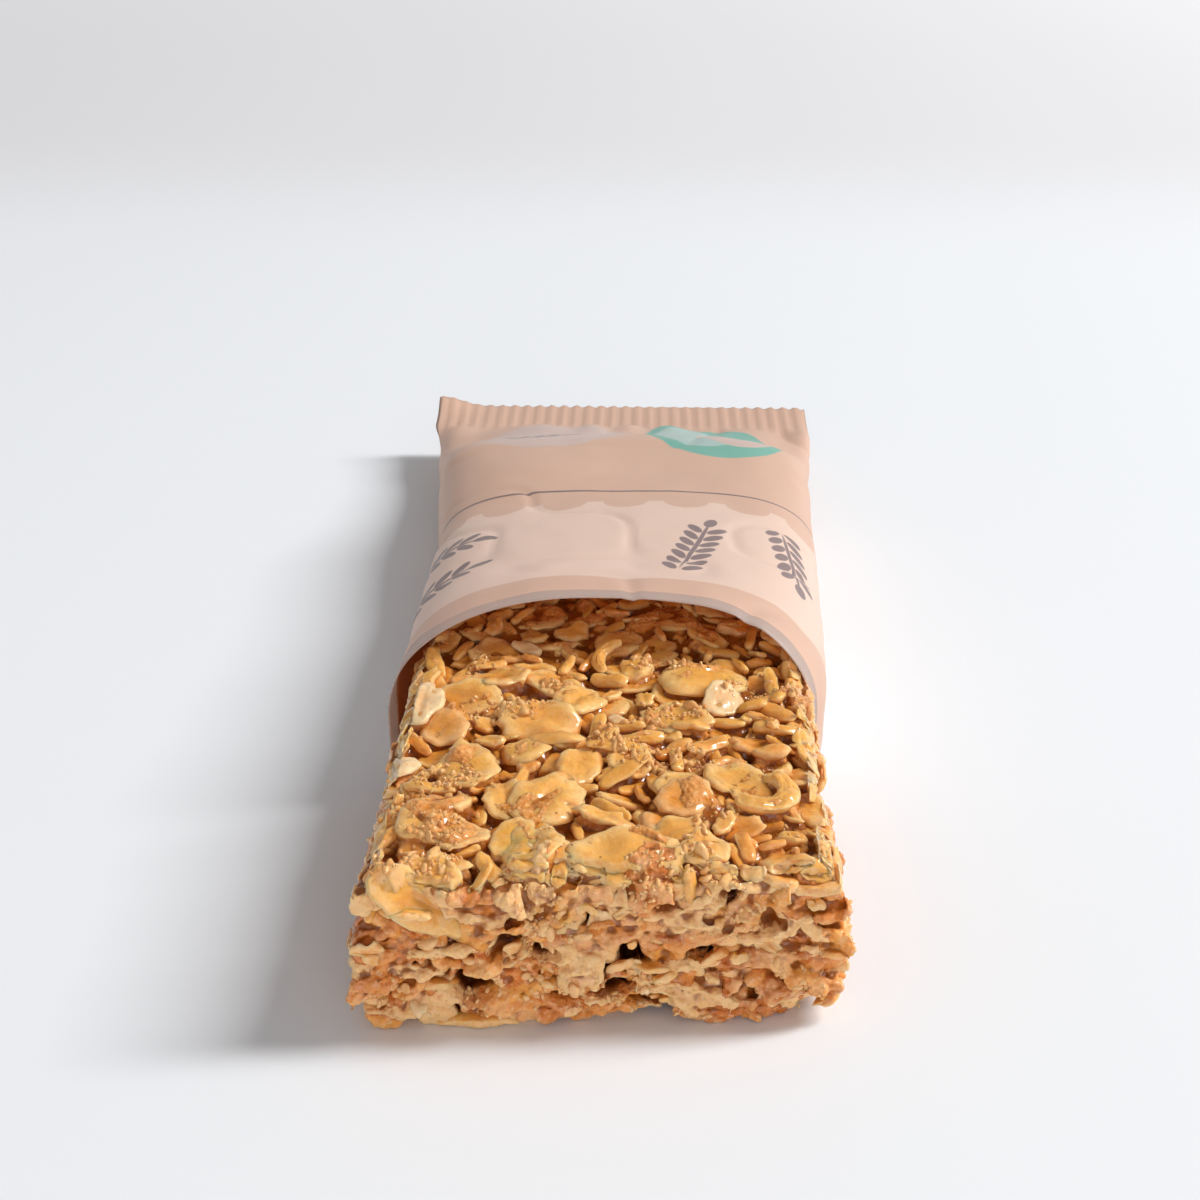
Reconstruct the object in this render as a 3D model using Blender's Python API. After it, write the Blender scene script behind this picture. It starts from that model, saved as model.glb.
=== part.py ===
"""A granola bar half out of its opened flow wrapper, at real size, in metres.

The bar is one slab of oats and syrup with a rough cut end. The wrapper is a thin film tube
round its rear part: it stands open in an arch over the bar and flattens into a sealed fin
behind it. The cut end faces -Y, the fin +Y, and everything stands on z = 0.
"""

import math

import bmesh
import bpy
from mathutils import Vector, noise

MM = 0.001

# The whole object, from the cut end to the fin's edge.
TOTAL_LENGTH = 137 * MM
TORN_OUT = 0.65 * MM  # how far the cut face's flakes stand out in front of the slab
FRONT = -TOTAL_LENGTH / 2 + TORN_OUT
BACK = TOTAL_LENGTH / 2

# The bar.
BAR_LENGTH = 99 * MM
BAR_WIDTH = 40 * MM
BAR_HEIGHT = 16 * MM
BAR_EDGE_RADIUS = 2.2 * MM
BAR_FOOT_RADIUS = 1.1 * MM  # the sharper edge round the underside
BAR_CELL = 2.2 * MM  # spacing of the cuts that carry the uneven surface
LEFT_BULGE = 1.3 * MM  # how far each side stands out where it is widest
RIGHT_BULGE = 1.8 * MM
WIDEST_LOW = 0.66  # under 1, the widest place lies below half height
FOOT_TUCK = 1.3 * MM  # how far the foot is drawn in where the film turns under it
REAR_NARROWING = 0.8 * MM  # each side, from the cut end to the mouth
FACE_SKEW = 2.2 * MM  # how far the cut face's right side lies behind its left
LUMP_HEIGHT = 0.95 * MM
LUMP_SIZE = 4.5 * MM
GRAIN_HEIGHT = 0.45 * MM
GRAIN_SIZE = 2.2 * MM
TORN_RELIEF = 1.5  # how much rougher the cut face is than the rest
HIDDEN_RELIEF = 0.5  # the share of the relief that is left under the film
HIDDEN_BULGE = 0.2  # the share of the bulges that is left there
MOUTH_BEFORE = 6 * MM  # where, in front of the mouth, the bar starts to be held in
MOUTH_RUN = 8 * MM  # the length over which it is
SKEW_RUN = 12 * MM  # the length over which the cut face's skew fades out
FACING_FRONT = -0.5  # a normal's y below which a point belongs to the cut face
FACING_DOWN = -0.8  # a normal's z below which it belongs to the flat underside
TOUCHING = 0.1 * MM  # points lower than this in the plain block stay on the ground
GROUND_GAP = 0.1 * MM  # the least height of all the others
UNDERCUT_HEIGHT = 1.2 * MM  # a pocket under the cut end where crumbs have gone
UNDERCUT_X = 4.0 * MM
UNDERCUT_RADIUS = 6.0 * MM
UNDERCUT_TOP = 0.4  # the share of the bar's height at which it has faded out
MERGE = 0.45 * MM  # points nearer than this to each other become one

# The wrapper's film, thick enough to be a solid, and the room that the bar leaves it.
FILM = 0.4 * MM
CLEARANCE = 0.35 * MM
BAR_LIFT = FILM + CLEARANCE  # how much higher the bar's underside lies on the film
CAVITY_END = 57 * MM
FIN_START = 60 * MM
LIP_SIDES = -32 * MM  # the mouth's edge at the sides
LIP_SETBACK = 4.0 * MM  # how far the arch's top lies behind that
LIP_WAVE = 0.25 * MM
AROUND = 44  # points round a section
ALONG = 26  # sections from the mouth to the fin
OUTLINE_STEPS = 720  # fine steps from which a section's even points are taken
FLOOR_PRESS = 1.03  # how much deeper than the floor the curve runs before it is cut flat
WAIST = 0.42  # the share of a section's height at which it is widest
LIP_WAVES = 5  # waves of the lip round the mouth
LIP_WAVE_START = 0.6  # where the first of them starts, in radians
FLAT_LIP = 0.1  # how far up the arch the lip is still straight

# Sections of the film tube: y, half width, ridge height, floor height, roundness of the
# upper half, of the lower half (2 is an ellipse, more is squarer), and sideways shift.
SECTIONS = [
    (-32 * MM, 22.8 * MM, 22.8 * MM, 0.0, 2.4, 6.0, 0.1 * MM),
    (-10 * MM, 23.2 * MM, 20.0 * MM, 0.0, 3.0, 6.0, 0.8 * MM),
    (8 * MM, 23.3 * MM, 18.3 * MM, 0.0, 3.7, 6.0, 1.4 * MM),
    (29 * MM, 25.0 * MM, 17.7 * MM, 0.0, 3.9, 5.0, 0.9 * MM),
    (46 * MM, 27.0 * MM, 12.6 * MM, 3.6 * MM, 2.4, 2.4, 0.4 * MM),
    (60 * MM, 28.3 * MM, 8.5 * MM, 7.5 * MM, 4.0, 4.0, 0.0),
    (68.5 * MM, 28.5 * MM, 8.5 * MM, 7.5 * MM, 8.0, 8.0, 0.0),
]


def smooth(t):
    """An S-shaped step from 0 to 1, held outside."""
    t = min(max(t, 0.0), 1.0)
    return t * t * (3 - 2 * t)


def new_material(name, colour, roughness):
    """A plain finish with a colour and a roughness."""
    material = bpy.data.materials.new(name)
    material.use_nodes = True
    shader = material.node_tree.nodes["Principled BSDF"]
    shader.inputs["Base Color"].default_value = (*colour, 1.0)
    shader.inputs["Roughness"].default_value = roughness
    shader.inputs["Metallic"].default_value = 0.0
    return material


def new_object(bm, name, material, collection):
    """Turns a bmesh into a smooth-shaded object in the collection."""
    mesh = bpy.data.meshes.new(name)
    bm.to_mesh(mesh)
    bm.free()
    mesh.shade_smooth()
    mesh.set_sharp_from_angle(angle=math.radians(50))
    mesh.materials.append(material)
    thing = bpy.data.objects.new(name, mesh)
    collection.objects.link(thing)
    return thing


def cut_in_cells(bm, axis, low, high, pitch):
    """Cuts the mesh by planes across one axis, evenly spaced at about the pitch."""
    count = max(round((high - low) / pitch), 1)
    normal = Vector((0, 0, 0))
    normal[axis] = 1.0
    for i in range(1, count):
        place = Vector((0, 0, 0))
        place[axis] = low + (high - low) * i / count
        everything = bm.verts[:] + bm.edges[:] + bm.faces[:]
        bmesh.ops.bisect_plane(bm, geom=everything, plane_co=place, plane_no=normal)


def lumps(p):
    """The height of the packed flakes at a point, as two sizes of smooth noise."""
    coarse = noise.noise(p / LUMP_SIZE) * LUMP_HEIGHT
    fine = noise.noise(p / GRAIN_SIZE + Vector((7, 3, 1))) * GRAIN_HEIGHT
    return coarse + fine


def bar_place(p, normal):
    """Moves a point of the plain block to its place on the uneven bar."""
    x, y, z = p
    exposed = 1 - smooth((y - LIP_SIDES + MOUTH_BEFORE) / MOUTH_RUN)
    along = smooth((y - FRONT) / (LIP_SIDES - FRONT))
    across = x / (BAR_WIDTH / 2)
    height = z / BAR_HEIGHT
    x -= across * REAR_NARROWING * along
    bulge = RIGHT_BULGE if across > 0 else LEFT_BULGE
    bulge *= HIDDEN_BULGE + (1 - HIDDEN_BULGE) * exposed
    x += across * bulge * math.sin(math.pi * height**WIDEST_LOW)
    x -= across * FOOT_TUCK * (1 - height) ** 3 * (1 - exposed)
    y += FACE_SKEW * (0.5 + 0.5 * across) * (1 - smooth((y - FRONT) / SKEW_RUN))
    relief = HIDDEN_RELIEF + (1 - HIDDEN_RELIEF) * exposed
    if normal.y < FACING_FRONT:
        relief *= TORN_RELIEF
    swell = lumps(Vector(p)) * relief
    least = 0.0 if z < TOUCHING else GROUND_GAP
    if normal.z > FACING_DOWN:
        x += normal.x * swell
        y += normal.y * swell
        z += max(normal.z, 0.0) * swell
    from_pocket = math.hypot(x - UNDERCUT_X, y - FRONT) / UNDERCUT_RADIUS
    z += UNDERCUT_HEIGHT * (1 - smooth(from_pocket)) * (1 - smooth(height / UNDERCUT_TOP))
    z += BAR_LIFT * (1 - exposed) * (1 - height)
    return Vector((x, y, max(z, least)))


def in_underside(edge):
    """Whether an edge of the plain block bounds its underside."""
    return all(v.co.z < TOUCHING for v in edge.verts)


def round_edges(bm, edges, radius):
    """Rounds the edges in two steps."""
    bmesh.ops.bevel(
        bm,
        geom=edges,
        offset=radius,
        offset_type="OFFSET",
        affect="EDGES",
        segments=2,
        profile=0.5,
        material=-1,
    )


def make_bar(material, collection):
    """The slab: a rounded block, cut in cells and moved to its uneven surface."""
    bm = bmesh.new()
    bmesh.ops.create_cube(bm, size=1.0)
    size = Vector((BAR_WIDTH, BAR_LENGTH, BAR_HEIGHT))
    bmesh.ops.scale(bm, vec=size, verts=bm.verts)
    middle = Vector((0, FRONT + BAR_LENGTH / 2, BAR_HEIGHT / 2))
    bmesh.ops.translate(bm, vec=middle, verts=bm.verts)
    round_edges(bm, [e for e in bm.edges if not in_underside(e)], BAR_EDGE_RADIUS)
    round_edges(bm, [e for e in bm.edges if in_underside(e)], BAR_FOOT_RADIUS)
    half = BAR_WIDTH / 2
    cut_in_cells(bm, 0, -half, half, BAR_CELL)
    cut_in_cells(bm, 1, FRONT, FRONT + BAR_LENGTH, BAR_CELL)
    cut_in_cells(bm, 2, 0, BAR_HEIGHT, BAR_CELL)
    bmesh.ops.remove_doubles(bm, verts=bm.verts, dist=MERGE)
    bmesh.ops.triangulate(bm, faces=bm.faces[:])
    bm.normal_update()
    places = [bar_place(v.co.copy(), v.normal.copy()) for v in bm.verts]
    for vertex, place in zip(bm.verts, places):
        vertex.co = place
    bmesh.ops.recalc_face_normals(bm, faces=bm.faces)
    return new_object(bm, "bar", material, collection)


def section_at(y):
    """The tube's measures at y, run smoothly between the neighbouring sections."""
    y = min(max(y, SECTIONS[0][0]), SECTIONS[-1][0])
    for low, high in zip(SECTIONS, SECTIONS[1:]):
        if y <= high[0]:
            break
    t = smooth((y - low[0]) / (high[0] - low[0]))
    even = (y - low[0]) / (high[0] - low[0])
    t = 0.5 * t + 0.5 * even
    return [a + (b - a) * t for a, b in zip(low[1:], high[1:])]


def outline_point(angle, measures, inset):
    """A point of a section, at an angle counted from its right end over the ridge."""
    half, ridge, floor, upper, lower, shift = measures
    half -= inset
    ridge -= inset
    floor += inset
    middle = floor + WAIST * (ridge - floor)
    c, s = math.cos(angle), math.sin(angle)
    roundness = upper if s >= 0 else lower
    x = math.copysign(abs(c) ** (2 / roundness), c) * half
    rise = abs(s) ** (2 / roundness)
    if s >= 0:
        return x + shift, middle + (ridge - middle) * rise, s
    return x + shift, max(middle - (middle - floor) * FLOOR_PRESS * rise, floor), s


def section_ring(y, inset):
    """Even points round the tube's section at y, each with how far up the arch it lies."""
    measures = section_at(y)
    turn = [-math.pi / 2 + math.tau * i / OUTLINE_STEPS for i in range(OUTLINE_STEPS + 1)]
    fine = [outline_point(angle, measures, inset) for angle in turn]
    reach = [0.0]
    for a, b in zip(fine, fine[1:]):
        reach.append(reach[-1] + math.hypot(b[0] - a[0], b[1] - a[1]))
    ring = []
    step = 0
    for i in range(AROUND):
        wanted = reach[-1] * i / AROUND
        while reach[step + 1] < wanted:
            step += 1
        t = (wanted - reach[step]) / max(reach[step + 1] - reach[step], 1e-12)
        ring.append([a + (b - a) * t for a, b in zip(fine[step], fine[step + 1])])
    return ring


def lip_y(up, i):
    """Where the mouth's edge lies: back at the arch's top, and a little wavy."""
    back = LIP_SETBACK * max(up, 0.0) ** 2
    if up < FLAT_LIP:
        return LIP_SIDES + back
    turn = LIP_WAVES * math.tau * i / AROUND + LIP_WAVE_START
    return LIP_SIDES + back + LIP_WAVE * math.sin(turn)


def tube_rings(bm, inset, last_y):
    """The tube's rings of vertices from the mouth to last_y."""
    rings = []
    for k in range(ALONG + 1):
        y = LIP_SIDES + (last_y - LIP_SIDES) * k / ALONG
        near_mouth = (1 - k / ALONG) ** 2
        ring = []
        for i, (x, z, up) in enumerate(section_ring(y, inset)):
            place = y + (lip_y(up, i) - LIP_SIDES) * near_mouth
            ring.append(bm.verts.new((x, place, z)))
        rings.append(ring)
    return rings


def bridge(bm, one, other, flip):
    """Faces between two rings of as many vertices."""
    count = len(one)
    for i in range(count):
        j = (i + 1) % count
        corners = [one[i], one[j], other[j], other[i]]
        bm.faces.new(corners[::-1] if flip else corners)


def make_wrapper(material, collection):
    """The film: an outer and an inner skin that meet at the mouth, and a solid fin."""
    bm = bmesh.new()
    outer = tube_rings(bm, 0.0, FIN_START)
    inner = tube_rings(bm, FILM, CAVITY_END)
    fin = [bm.verts.new((x, BACK, z)) for x, z, _ in section_ring(BACK, 0.0)]
    for near, far in zip(outer, outer[1:]):
        bridge(bm, near, far, flip=False)
    bridge(bm, outer[-1], fin, flip=False)
    for near, far in zip(inner, inner[1:]):
        bridge(bm, near, far, flip=True)
    bridge(bm, inner[0], outer[0], flip=False)
    bm.faces.new(fin)
    bm.faces.new(inner[-1])
    bmesh.ops.recalc_face_normals(bm, faces=bm.faces)
    return new_object(bm, "wrapper", material, collection)


def main():
    """Clears the scene and makes the bar and its wrapper."""
    for thing in list(bpy.data.objects):
        bpy.data.objects.remove(thing, do_unlink=True)
    collection = bpy.data.collections.new("granola_bar")
    bpy.context.scene.collection.children.link(collection)
    oats = new_material("oats", (0.60, 0.33, 0.11), 0.5)
    film = new_material("wrapper_film", (0.62, 0.40, 0.27), 0.45)
    make_bar(oats, collection)
    make_wrapper(film, collection)


main()
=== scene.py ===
"""The looks of a granola bar half out of its opened flow wrapper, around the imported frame.

The bar is packed from separate rolled oats, broken oats, grains, curls and crumbs, with a
skin of syrup drawn over what lies deep between them. The wrapper is one sheet of printed film,
rolled to a tube, arched open at its mouth and pressed flat in a ribbed fin at its end.
Lengths are in metres. The cut end faces -Y, the fin +Y, and everything lies on z = 0.
"""

import logging
import math
from dataclasses import dataclass, field
from enum import Enum
from itertools import product
from typing import Any

import bmesh
import bpy
import numpy as np
from mathutils import Euler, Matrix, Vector
from mathutils.bvhtree import BVHTree


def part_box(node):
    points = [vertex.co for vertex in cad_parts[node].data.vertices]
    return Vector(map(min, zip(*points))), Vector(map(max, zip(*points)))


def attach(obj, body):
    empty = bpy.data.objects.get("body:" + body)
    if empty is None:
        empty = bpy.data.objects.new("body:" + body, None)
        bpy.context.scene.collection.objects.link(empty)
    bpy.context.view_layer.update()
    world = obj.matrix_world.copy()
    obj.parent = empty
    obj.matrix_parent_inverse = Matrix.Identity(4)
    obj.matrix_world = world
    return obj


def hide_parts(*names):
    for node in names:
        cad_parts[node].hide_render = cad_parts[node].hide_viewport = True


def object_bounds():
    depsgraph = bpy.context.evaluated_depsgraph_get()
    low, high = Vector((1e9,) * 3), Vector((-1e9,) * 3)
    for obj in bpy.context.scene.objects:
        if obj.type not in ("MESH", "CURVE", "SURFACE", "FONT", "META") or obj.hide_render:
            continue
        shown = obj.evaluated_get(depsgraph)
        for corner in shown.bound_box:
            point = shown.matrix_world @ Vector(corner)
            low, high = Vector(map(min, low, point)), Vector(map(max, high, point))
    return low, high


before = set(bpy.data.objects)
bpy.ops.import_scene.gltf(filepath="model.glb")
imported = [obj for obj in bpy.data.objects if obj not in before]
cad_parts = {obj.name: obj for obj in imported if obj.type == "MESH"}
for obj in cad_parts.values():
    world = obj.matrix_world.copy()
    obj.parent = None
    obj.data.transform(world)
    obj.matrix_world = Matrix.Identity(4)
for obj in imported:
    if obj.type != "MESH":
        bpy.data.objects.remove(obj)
CAD_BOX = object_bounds()
BAR_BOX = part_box("bar")
FILM_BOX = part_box("wrapper")
MM = 0.001
LOG = logging.getLogger("granola_bar")

HASH_STEPS = (73856093, 19349663, 83492791)
HASH_FACTOR = 1274126177
HASH_MASK = 0x7FFFFFFF
VALUE_MASK = 0xFFFFF
SEED_STEP = 19.7

Array = np.ndarray
Pieces = list[bpy.types.Object]


# --------------------------------------------------------------------------- numbers


def smooth(t: Array | float) -> Array:
    """An S-shaped step from 0 to 1, held outside."""
    t = np.clip(t, 0.0, 1.0)
    return t * t * (3 - 2 * t)


def linear(red: int, green: int, blue: int) -> tuple[float, float, float, float]:
    """A screen colour as the linear colour that shaders take.

    Args:
        red, green, blue: the screen colour's parts, 0 to 255.

    Returns:
        The linear red, green and blue, and an alpha of 1.
    """
    parts = [part / 255 for part in (red, green, blue)]
    steps = [p / 12.92 if p <= 0.04045 else ((p + 0.055) / 1.055) ** 2.4 for p in parts]
    return (steps[0], steps[1], steps[2], 1.0)


@dataclass(frozen=True)
class SoftNoise:
    """A smooth random field in space, from -1 to 1, whose lumps are about `size` across."""

    size: float
    seed: int

    def at(self, points: Array) -> Array:
        """The field's value at each point.

        Args:
            points: an array of places, one row each.

        Returns:
            One value for each row.
        """
        scaled = points / self.size + SEED_STEP * self.seed
        cell = np.floor(scaled).astype(np.int64)
        inner = scaled - cell
        inner = inner * inner * (3 - 2 * inner)
        total = np.zeros(len(points))
        for corner in product((0, 1), repeat=3):
            c = cell + np.array(corner)
            mixed = c[:, 0] * HASH_STEPS[0] ^ c[:, 1] * HASH_STEPS[1] ^ c[:, 2] * HASH_STEPS[2]
            mixed = (mixed ^ (mixed >> 13)) * HASH_FACTOR & HASH_MASK
            value = ((mixed ^ (mixed >> 15)) & VALUE_MASK) / VALUE_MASK * 2 - 1
            weight = np.prod(np.where(np.array(corner) == 1, inner, 1 - inner), axis=1)
            total += value * weight
        return total


def turned(yaw: float, pitch: float = 0.0, roll: float = 0.0) -> Array:
    """The matrix that rolls about X, pitches about Y and then turns about Z."""
    return np.array(Euler((roll, pitch, yaw), "XYZ").to_matrix())


# --------------------------------------------------------------------------- shaders


class Value:
    """A shader number that can be reckoned with; every step adds a Math node."""

    def __init__(self, kit: "NodeKit", socket: Any) -> None:
        """Keeps the socket and the tree that it belongs to."""
        self.kit = kit
        self.socket = socket

    def _with(self, operation: str, other: Any, swapped: bool = False) -> "Value":
        """A Math node of this value and another, in either order."""
        pair = (other, self) if swapped else (self, other)
        return self.kit.math(operation, *pair)

    def __add__(self, other: Any) -> "Value":
        """The sum."""
        return self._with("ADD", other)

    def __radd__(self, other: Any) -> "Value":
        """The sum, from the right."""
        return self._with("ADD", other, True)

    def __sub__(self, other: Any) -> "Value":
        """The difference."""
        return self._with("SUBTRACT", other)

    def __rsub__(self, other: Any) -> "Value":
        """The difference, from the right."""
        return self._with("SUBTRACT", other, True)

    def __mul__(self, other: Any) -> "Value":
        """The product."""
        return self._with("MULTIPLY", other)

    def __rmul__(self, other: Any) -> "Value":
        """The product, from the right."""
        return self._with("MULTIPLY", other, True)

    def __truediv__(self, other: Any) -> "Value":
        """The quotient."""
        return self._with("DIVIDE", other)

    def __pow__(self, other: Any) -> "Value":
        """The power."""
        return self._with("POWER", other)


class NodeKit:
    """Builds one material's nodes."""

    def __init__(self, name: str) -> None:
        """Makes an empty material.

        Args:
            name: the material's name.
        """
        self.material = bpy.data.materials.new(name)
        self.material.use_nodes = True
        self.tree = self.material.node_tree
        self.tree.nodes.clear()
        self.place = self.output("ShaderNodeTexCoord", "Object")

    def node(self, kind: str, settings: dict | None = None, **sockets: Any) -> Any:
        """Adds a node.

        Args:
            kind: the node's type.
            settings: its own settings, which are set first.
            sockets: what its inputs hold, by name with _ for a blank, or by number as i0, i1.

        Returns:
            The node.
        """
        made = self.tree.nodes.new(kind)
        for key, value in (settings or {}).items():
            setattr(made, key, value)
        for key, value in sockets.items():
            number = key[1:] if key[0] == "i" and key[1:].isdigit() else None
            target = made.inputs[int(number)] if number else made.inputs[key.replace("_", " ")]
            self.feed(target, value)
        return made

    def feed(self, target: Any, value: Any) -> None:
        """Links a socket to an input, or sets the input's own value.

        Args:
            target: the input.
            value: a socket, or a value of the input's own kind.
        """
        if isinstance(value, Value):
            value = value.socket
        if isinstance(value, bpy.types.NodeSocket):
            self.tree.links.new(value, target)
        else:
            target.default_value = value

    def output(self, kind: str, name: str, settings: dict | None = None, **sockets: Any) -> Any:
        """Adds a node and gives one of its outputs."""
        return self.node(kind, settings, **sockets).outputs[name]

    def math(self, operation: str, *values: Any) -> Value:
        """A Math node.

        Args:
            operation: what it does.
            values: up to three numbers that it does it with.

        Returns:
            What it gives.
        """
        sockets = {f"i{i}": value for i, value in enumerate(values)}
        made = self.node("ShaderNodeMath", {"operation": operation}, **sockets)
        return Value(self, made.outputs[0])

    def step(self, value: Any, low: float, high: float) -> Value:
        """A smooth step between two values.

        Args:
            value: the number that is stepped.
            low: where the step is 0, and past it.
            high: where it is 1, and past it.

        Returns:
            The step, from 0 to 1.
        """
        made = self.node(
            "ShaderNodeMapRange",
            {"interpolation_type": "SMOOTHSTEP"},
            Value=value,
            From_Min=low,
            From_Max=high,
        )
        return Value(self, made.outputs[0])

    def noise(
        self, size: float, detail: float = 3.0, rough: float = 0.5, where: Any = None
    ) -> Value:
        """Soft noise.

        Args:
            size: how wide its lumps are, in metres.
            detail: how many finer layers it has.
            rough: how strong they are.
            where: the places that it is taken at, if not the material's own.

        Returns:
            The noise, from 0 to 1.
        """
        made = self.node(
            "ShaderNodeTexNoise",
            {"noise_dimensions": "3D"},
            Vector=self.place if where is None else where,
            Scale=1 / size,
            Detail=detail,
            Roughness=rough,
        )
        return Value(self, made.outputs["Fac"])

    def cells(self, size: float, feature: str = "F1", where: Any = None) -> Any:
        """A Voronoi node.

        Args:
            size: how wide its cells are, in metres.
            feature: what its distance is measured to.
            where: the places that it is taken at, if not the material's own.

        Returns:
            The node.
        """
        return self.node(
            "ShaderNodeTexVoronoi",
            {"feature": feature},
            Vector=self.place if where is None else where,
            Scale=1 / size,
        )

    def attribute(self, name: str) -> Value:
        """A number that the mesh carries under that name."""
        made = self.node("ShaderNodeAttribute", {"attribute_name": name})
        return Value(self, made.outputs["Fac"])

    def blend(self, factor: Any, one: Any, other: Any, how: str = "MIX") -> Any:
        """The colour that lies between two colours.

        Args:
            factor: 0 for the one colour, 1 for the other.
            one, other: the colours.
            how: the way that they are blended.

        Returns:
            The colour's socket.
        """
        made = self.node("ShaderNodeMix", {"data_type": "RGBA", "blend_type": how})
        self.feed(made.inputs[0], factor)
        self.feed(made.inputs[6], one)
        self.feed(made.inputs[7], other)
        return made.outputs[2]

    def ramp(self, value: Any, stops: list[tuple[float, tuple]]) -> Any:
        """The colour that a value takes between coloured stops.

        Args:
            value: the value, from 0 to 1.
            stops: places from 0 to 1 with their colours.

        Returns:
            The colour's socket.
        """
        made = self.node("ShaderNodeValToRGB", Fac=value)
        points = made.color_ramp.elements
        while len(points) < len(stops):
            points.new(0.5)
        for point, (place, colour) in zip(points, stops):
            point.position, point.color = place, colour
        return made.outputs["Color"]

    def bump(self, height: Any, depth: float, strength: float = 1.0) -> Any:
        """The normal that a height gives.

        Args:
            height: the height, from 0 to 1.
            depth: how many metres a height of 1 is.
            strength: the share of the effect that is used.

        Returns:
            The normal's socket.
        """
        return self.output(
            "ShaderNodeBump", "Normal", Strength=strength, Distance=depth, Height=height
        )

    def mixed(self, share: Any, one: Any, other: Any) -> Any:
        """A mix of two shaders.

        Args:
            share: the other shader's share.
            one, other: the shaders' nodes.

        Returns:
            The Mix Shader node.
        """
        return self.node("ShaderNodeMixShader", i0=share, i1=one.outputs[0], i2=other.outputs[0])

    def finish(self, surface: Any) -> bpy.types.Material:
        """Ends the tree with this shader and gives the material."""
        self.node("ShaderNodeOutputMaterial", Surface=surface)
        return self.material


@dataclass(frozen=True)
class OatFinish:
    """Rolled oats baked in syrup: golden and paler at cuts, with painted light making rims paler
    and middles browner, and browner where sunk among the others, as pooled syrup and painted
    shade.
    """

    name: str = "rolled_oats"
    olive: tuple = linear(240, 180, 88)
    golden: tuple = linear(247, 187, 102)
    tan: tuple = linear(240, 168, 86)
    honey: tuple = linear(218, 134, 28)
    deep: tuple = linear(140, 66, 0)
    cream: tuple = linear(250, 212, 162)
    pale: tuple = linear(255, 224, 174)
    torn: tuple = linear(250, 200, 144)
    bran: tuple = linear(110, 64, 30)
    glaze: float = 1.0
    softness: float = 0.7
    dry: float = 0.5
    wet_gloss: float = 0.2
    shine: float = 0.15
    relief: float = 0.1 * MM
    glow_depth: float = 0.4 * MM
    broad_size: float = 2.2 * MM
    fine_size: float = 0.5 * MM
    pore_size: float = 0.22 * MM
    dot_size: float = 1.1 * MM
    wet_size: float = 0.9 * MM

    def material(self) -> bpy.types.Material:
        """Builds the oats' material, which reads each piece's tone, rim and cut.

        Returns:
            The material.
        """
        kit = NodeKit(self.name)
        names = ("tone", "rim", "cut", "syrup_and_shade_depth")
        tone, rim, cut, syrup_and_shade_depth = (kit.attribute(name) for name in names)
        broad = kit.noise(self.broad_size, 3.0, 0.6)
        fine = kit.noise(self.fine_size, 4.0, 0.65)
        stops = [(0.0, self.olive), (0.35, self.golden), (0.6, self.tan), (0.95, self.honey)]
        colour = kit.ramp(tone + (broad - 0.5) * 0.7, stops)
        colour = kit.blend(kit.step(tone, 0.85, 0.9), colour, self.cream)
        # Painted light: a browner middle and a paler rim, as if light passed through the thin
        # rim.
        middle = kit.step(rim + (broad - 0.5) * 0.9, 0.7, 0.2)
        colour = kit.blend(middle * 0.28, colour, self.honey)
        edge = kit.step(rim + (fine - 0.5) * 0.5, 0.5, 0.95)
        colour = kit.blend(edge * 0.35, colour, self.pale)
        colour = kit.blend(kit.step(fine, 0.5, 0.74) * 0.18, colour, self.pale)
        colour = kit.blend(kit.step(broad, 0.52, 0.72) * 0.45, colour, self.honey)
        colour = kit.blend(kit.step(fine, 0.46, 0.3) * 0.2, colour, self.honey)
        colour = kit.blend(cut * kit.step(fine, 0.25, 0.6) * 0.8, colour, self.torn)
        colour = kit.blend(cut * kit.step(broad, 0.5, 0.7) * 0.6, colour, self.tan)
        # Browner, then darkest, where a piece lies sunk among the others: pooled syrup and
        # painted shade.
        low = syrup_and_shade_depth + (broad - 0.5) * 0.5 + (fine - 0.5) * 0.3
        colour = kit.blend(kit.step(low, 0.15, 0.7) * 0.7, colour, self.honey)
        colour = kit.blend(kit.step(low, 0.6, 1.2) * 0.9, colour, self.deep)
        dot = kit.step(kit.cells(self.dot_size).outputs["Distance"], 0.13, 0.07)
        rare = kit.step(kit.noise(1.7 * MM, 2.0), 0.6, 0.66)
        colour = kit.blend(dot * rare * 0.8, colour, self.bran)
        wet = kit.step(kit.noise(self.wet_size, 4.0, 0.6), 0.38, 0.55)
        height = fine * 0.65 + kit.noise(self.pore_size, 2.0) * 0.35
        shader = kit.node(
            "ShaderNodeBsdfPrincipled",
            Base_Color=colour,
            Roughness=self.dry - wet * self.wet_gloss,
            Specular_IOR_Level=self.shine,
            Normal=kit.bump(height, self.relief),
            Coat_Weight=wet * self.glaze * (1 - cut * 0.4),
            Coat_Roughness=0.1,
            Subsurface_Weight=self.softness,
            Subsurface_Radius=(1.0, 1.0, 1.0),
            Subsurface_Scale=self.glow_depth,
        )
        return kit.finish(shader.outputs[0])


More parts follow.
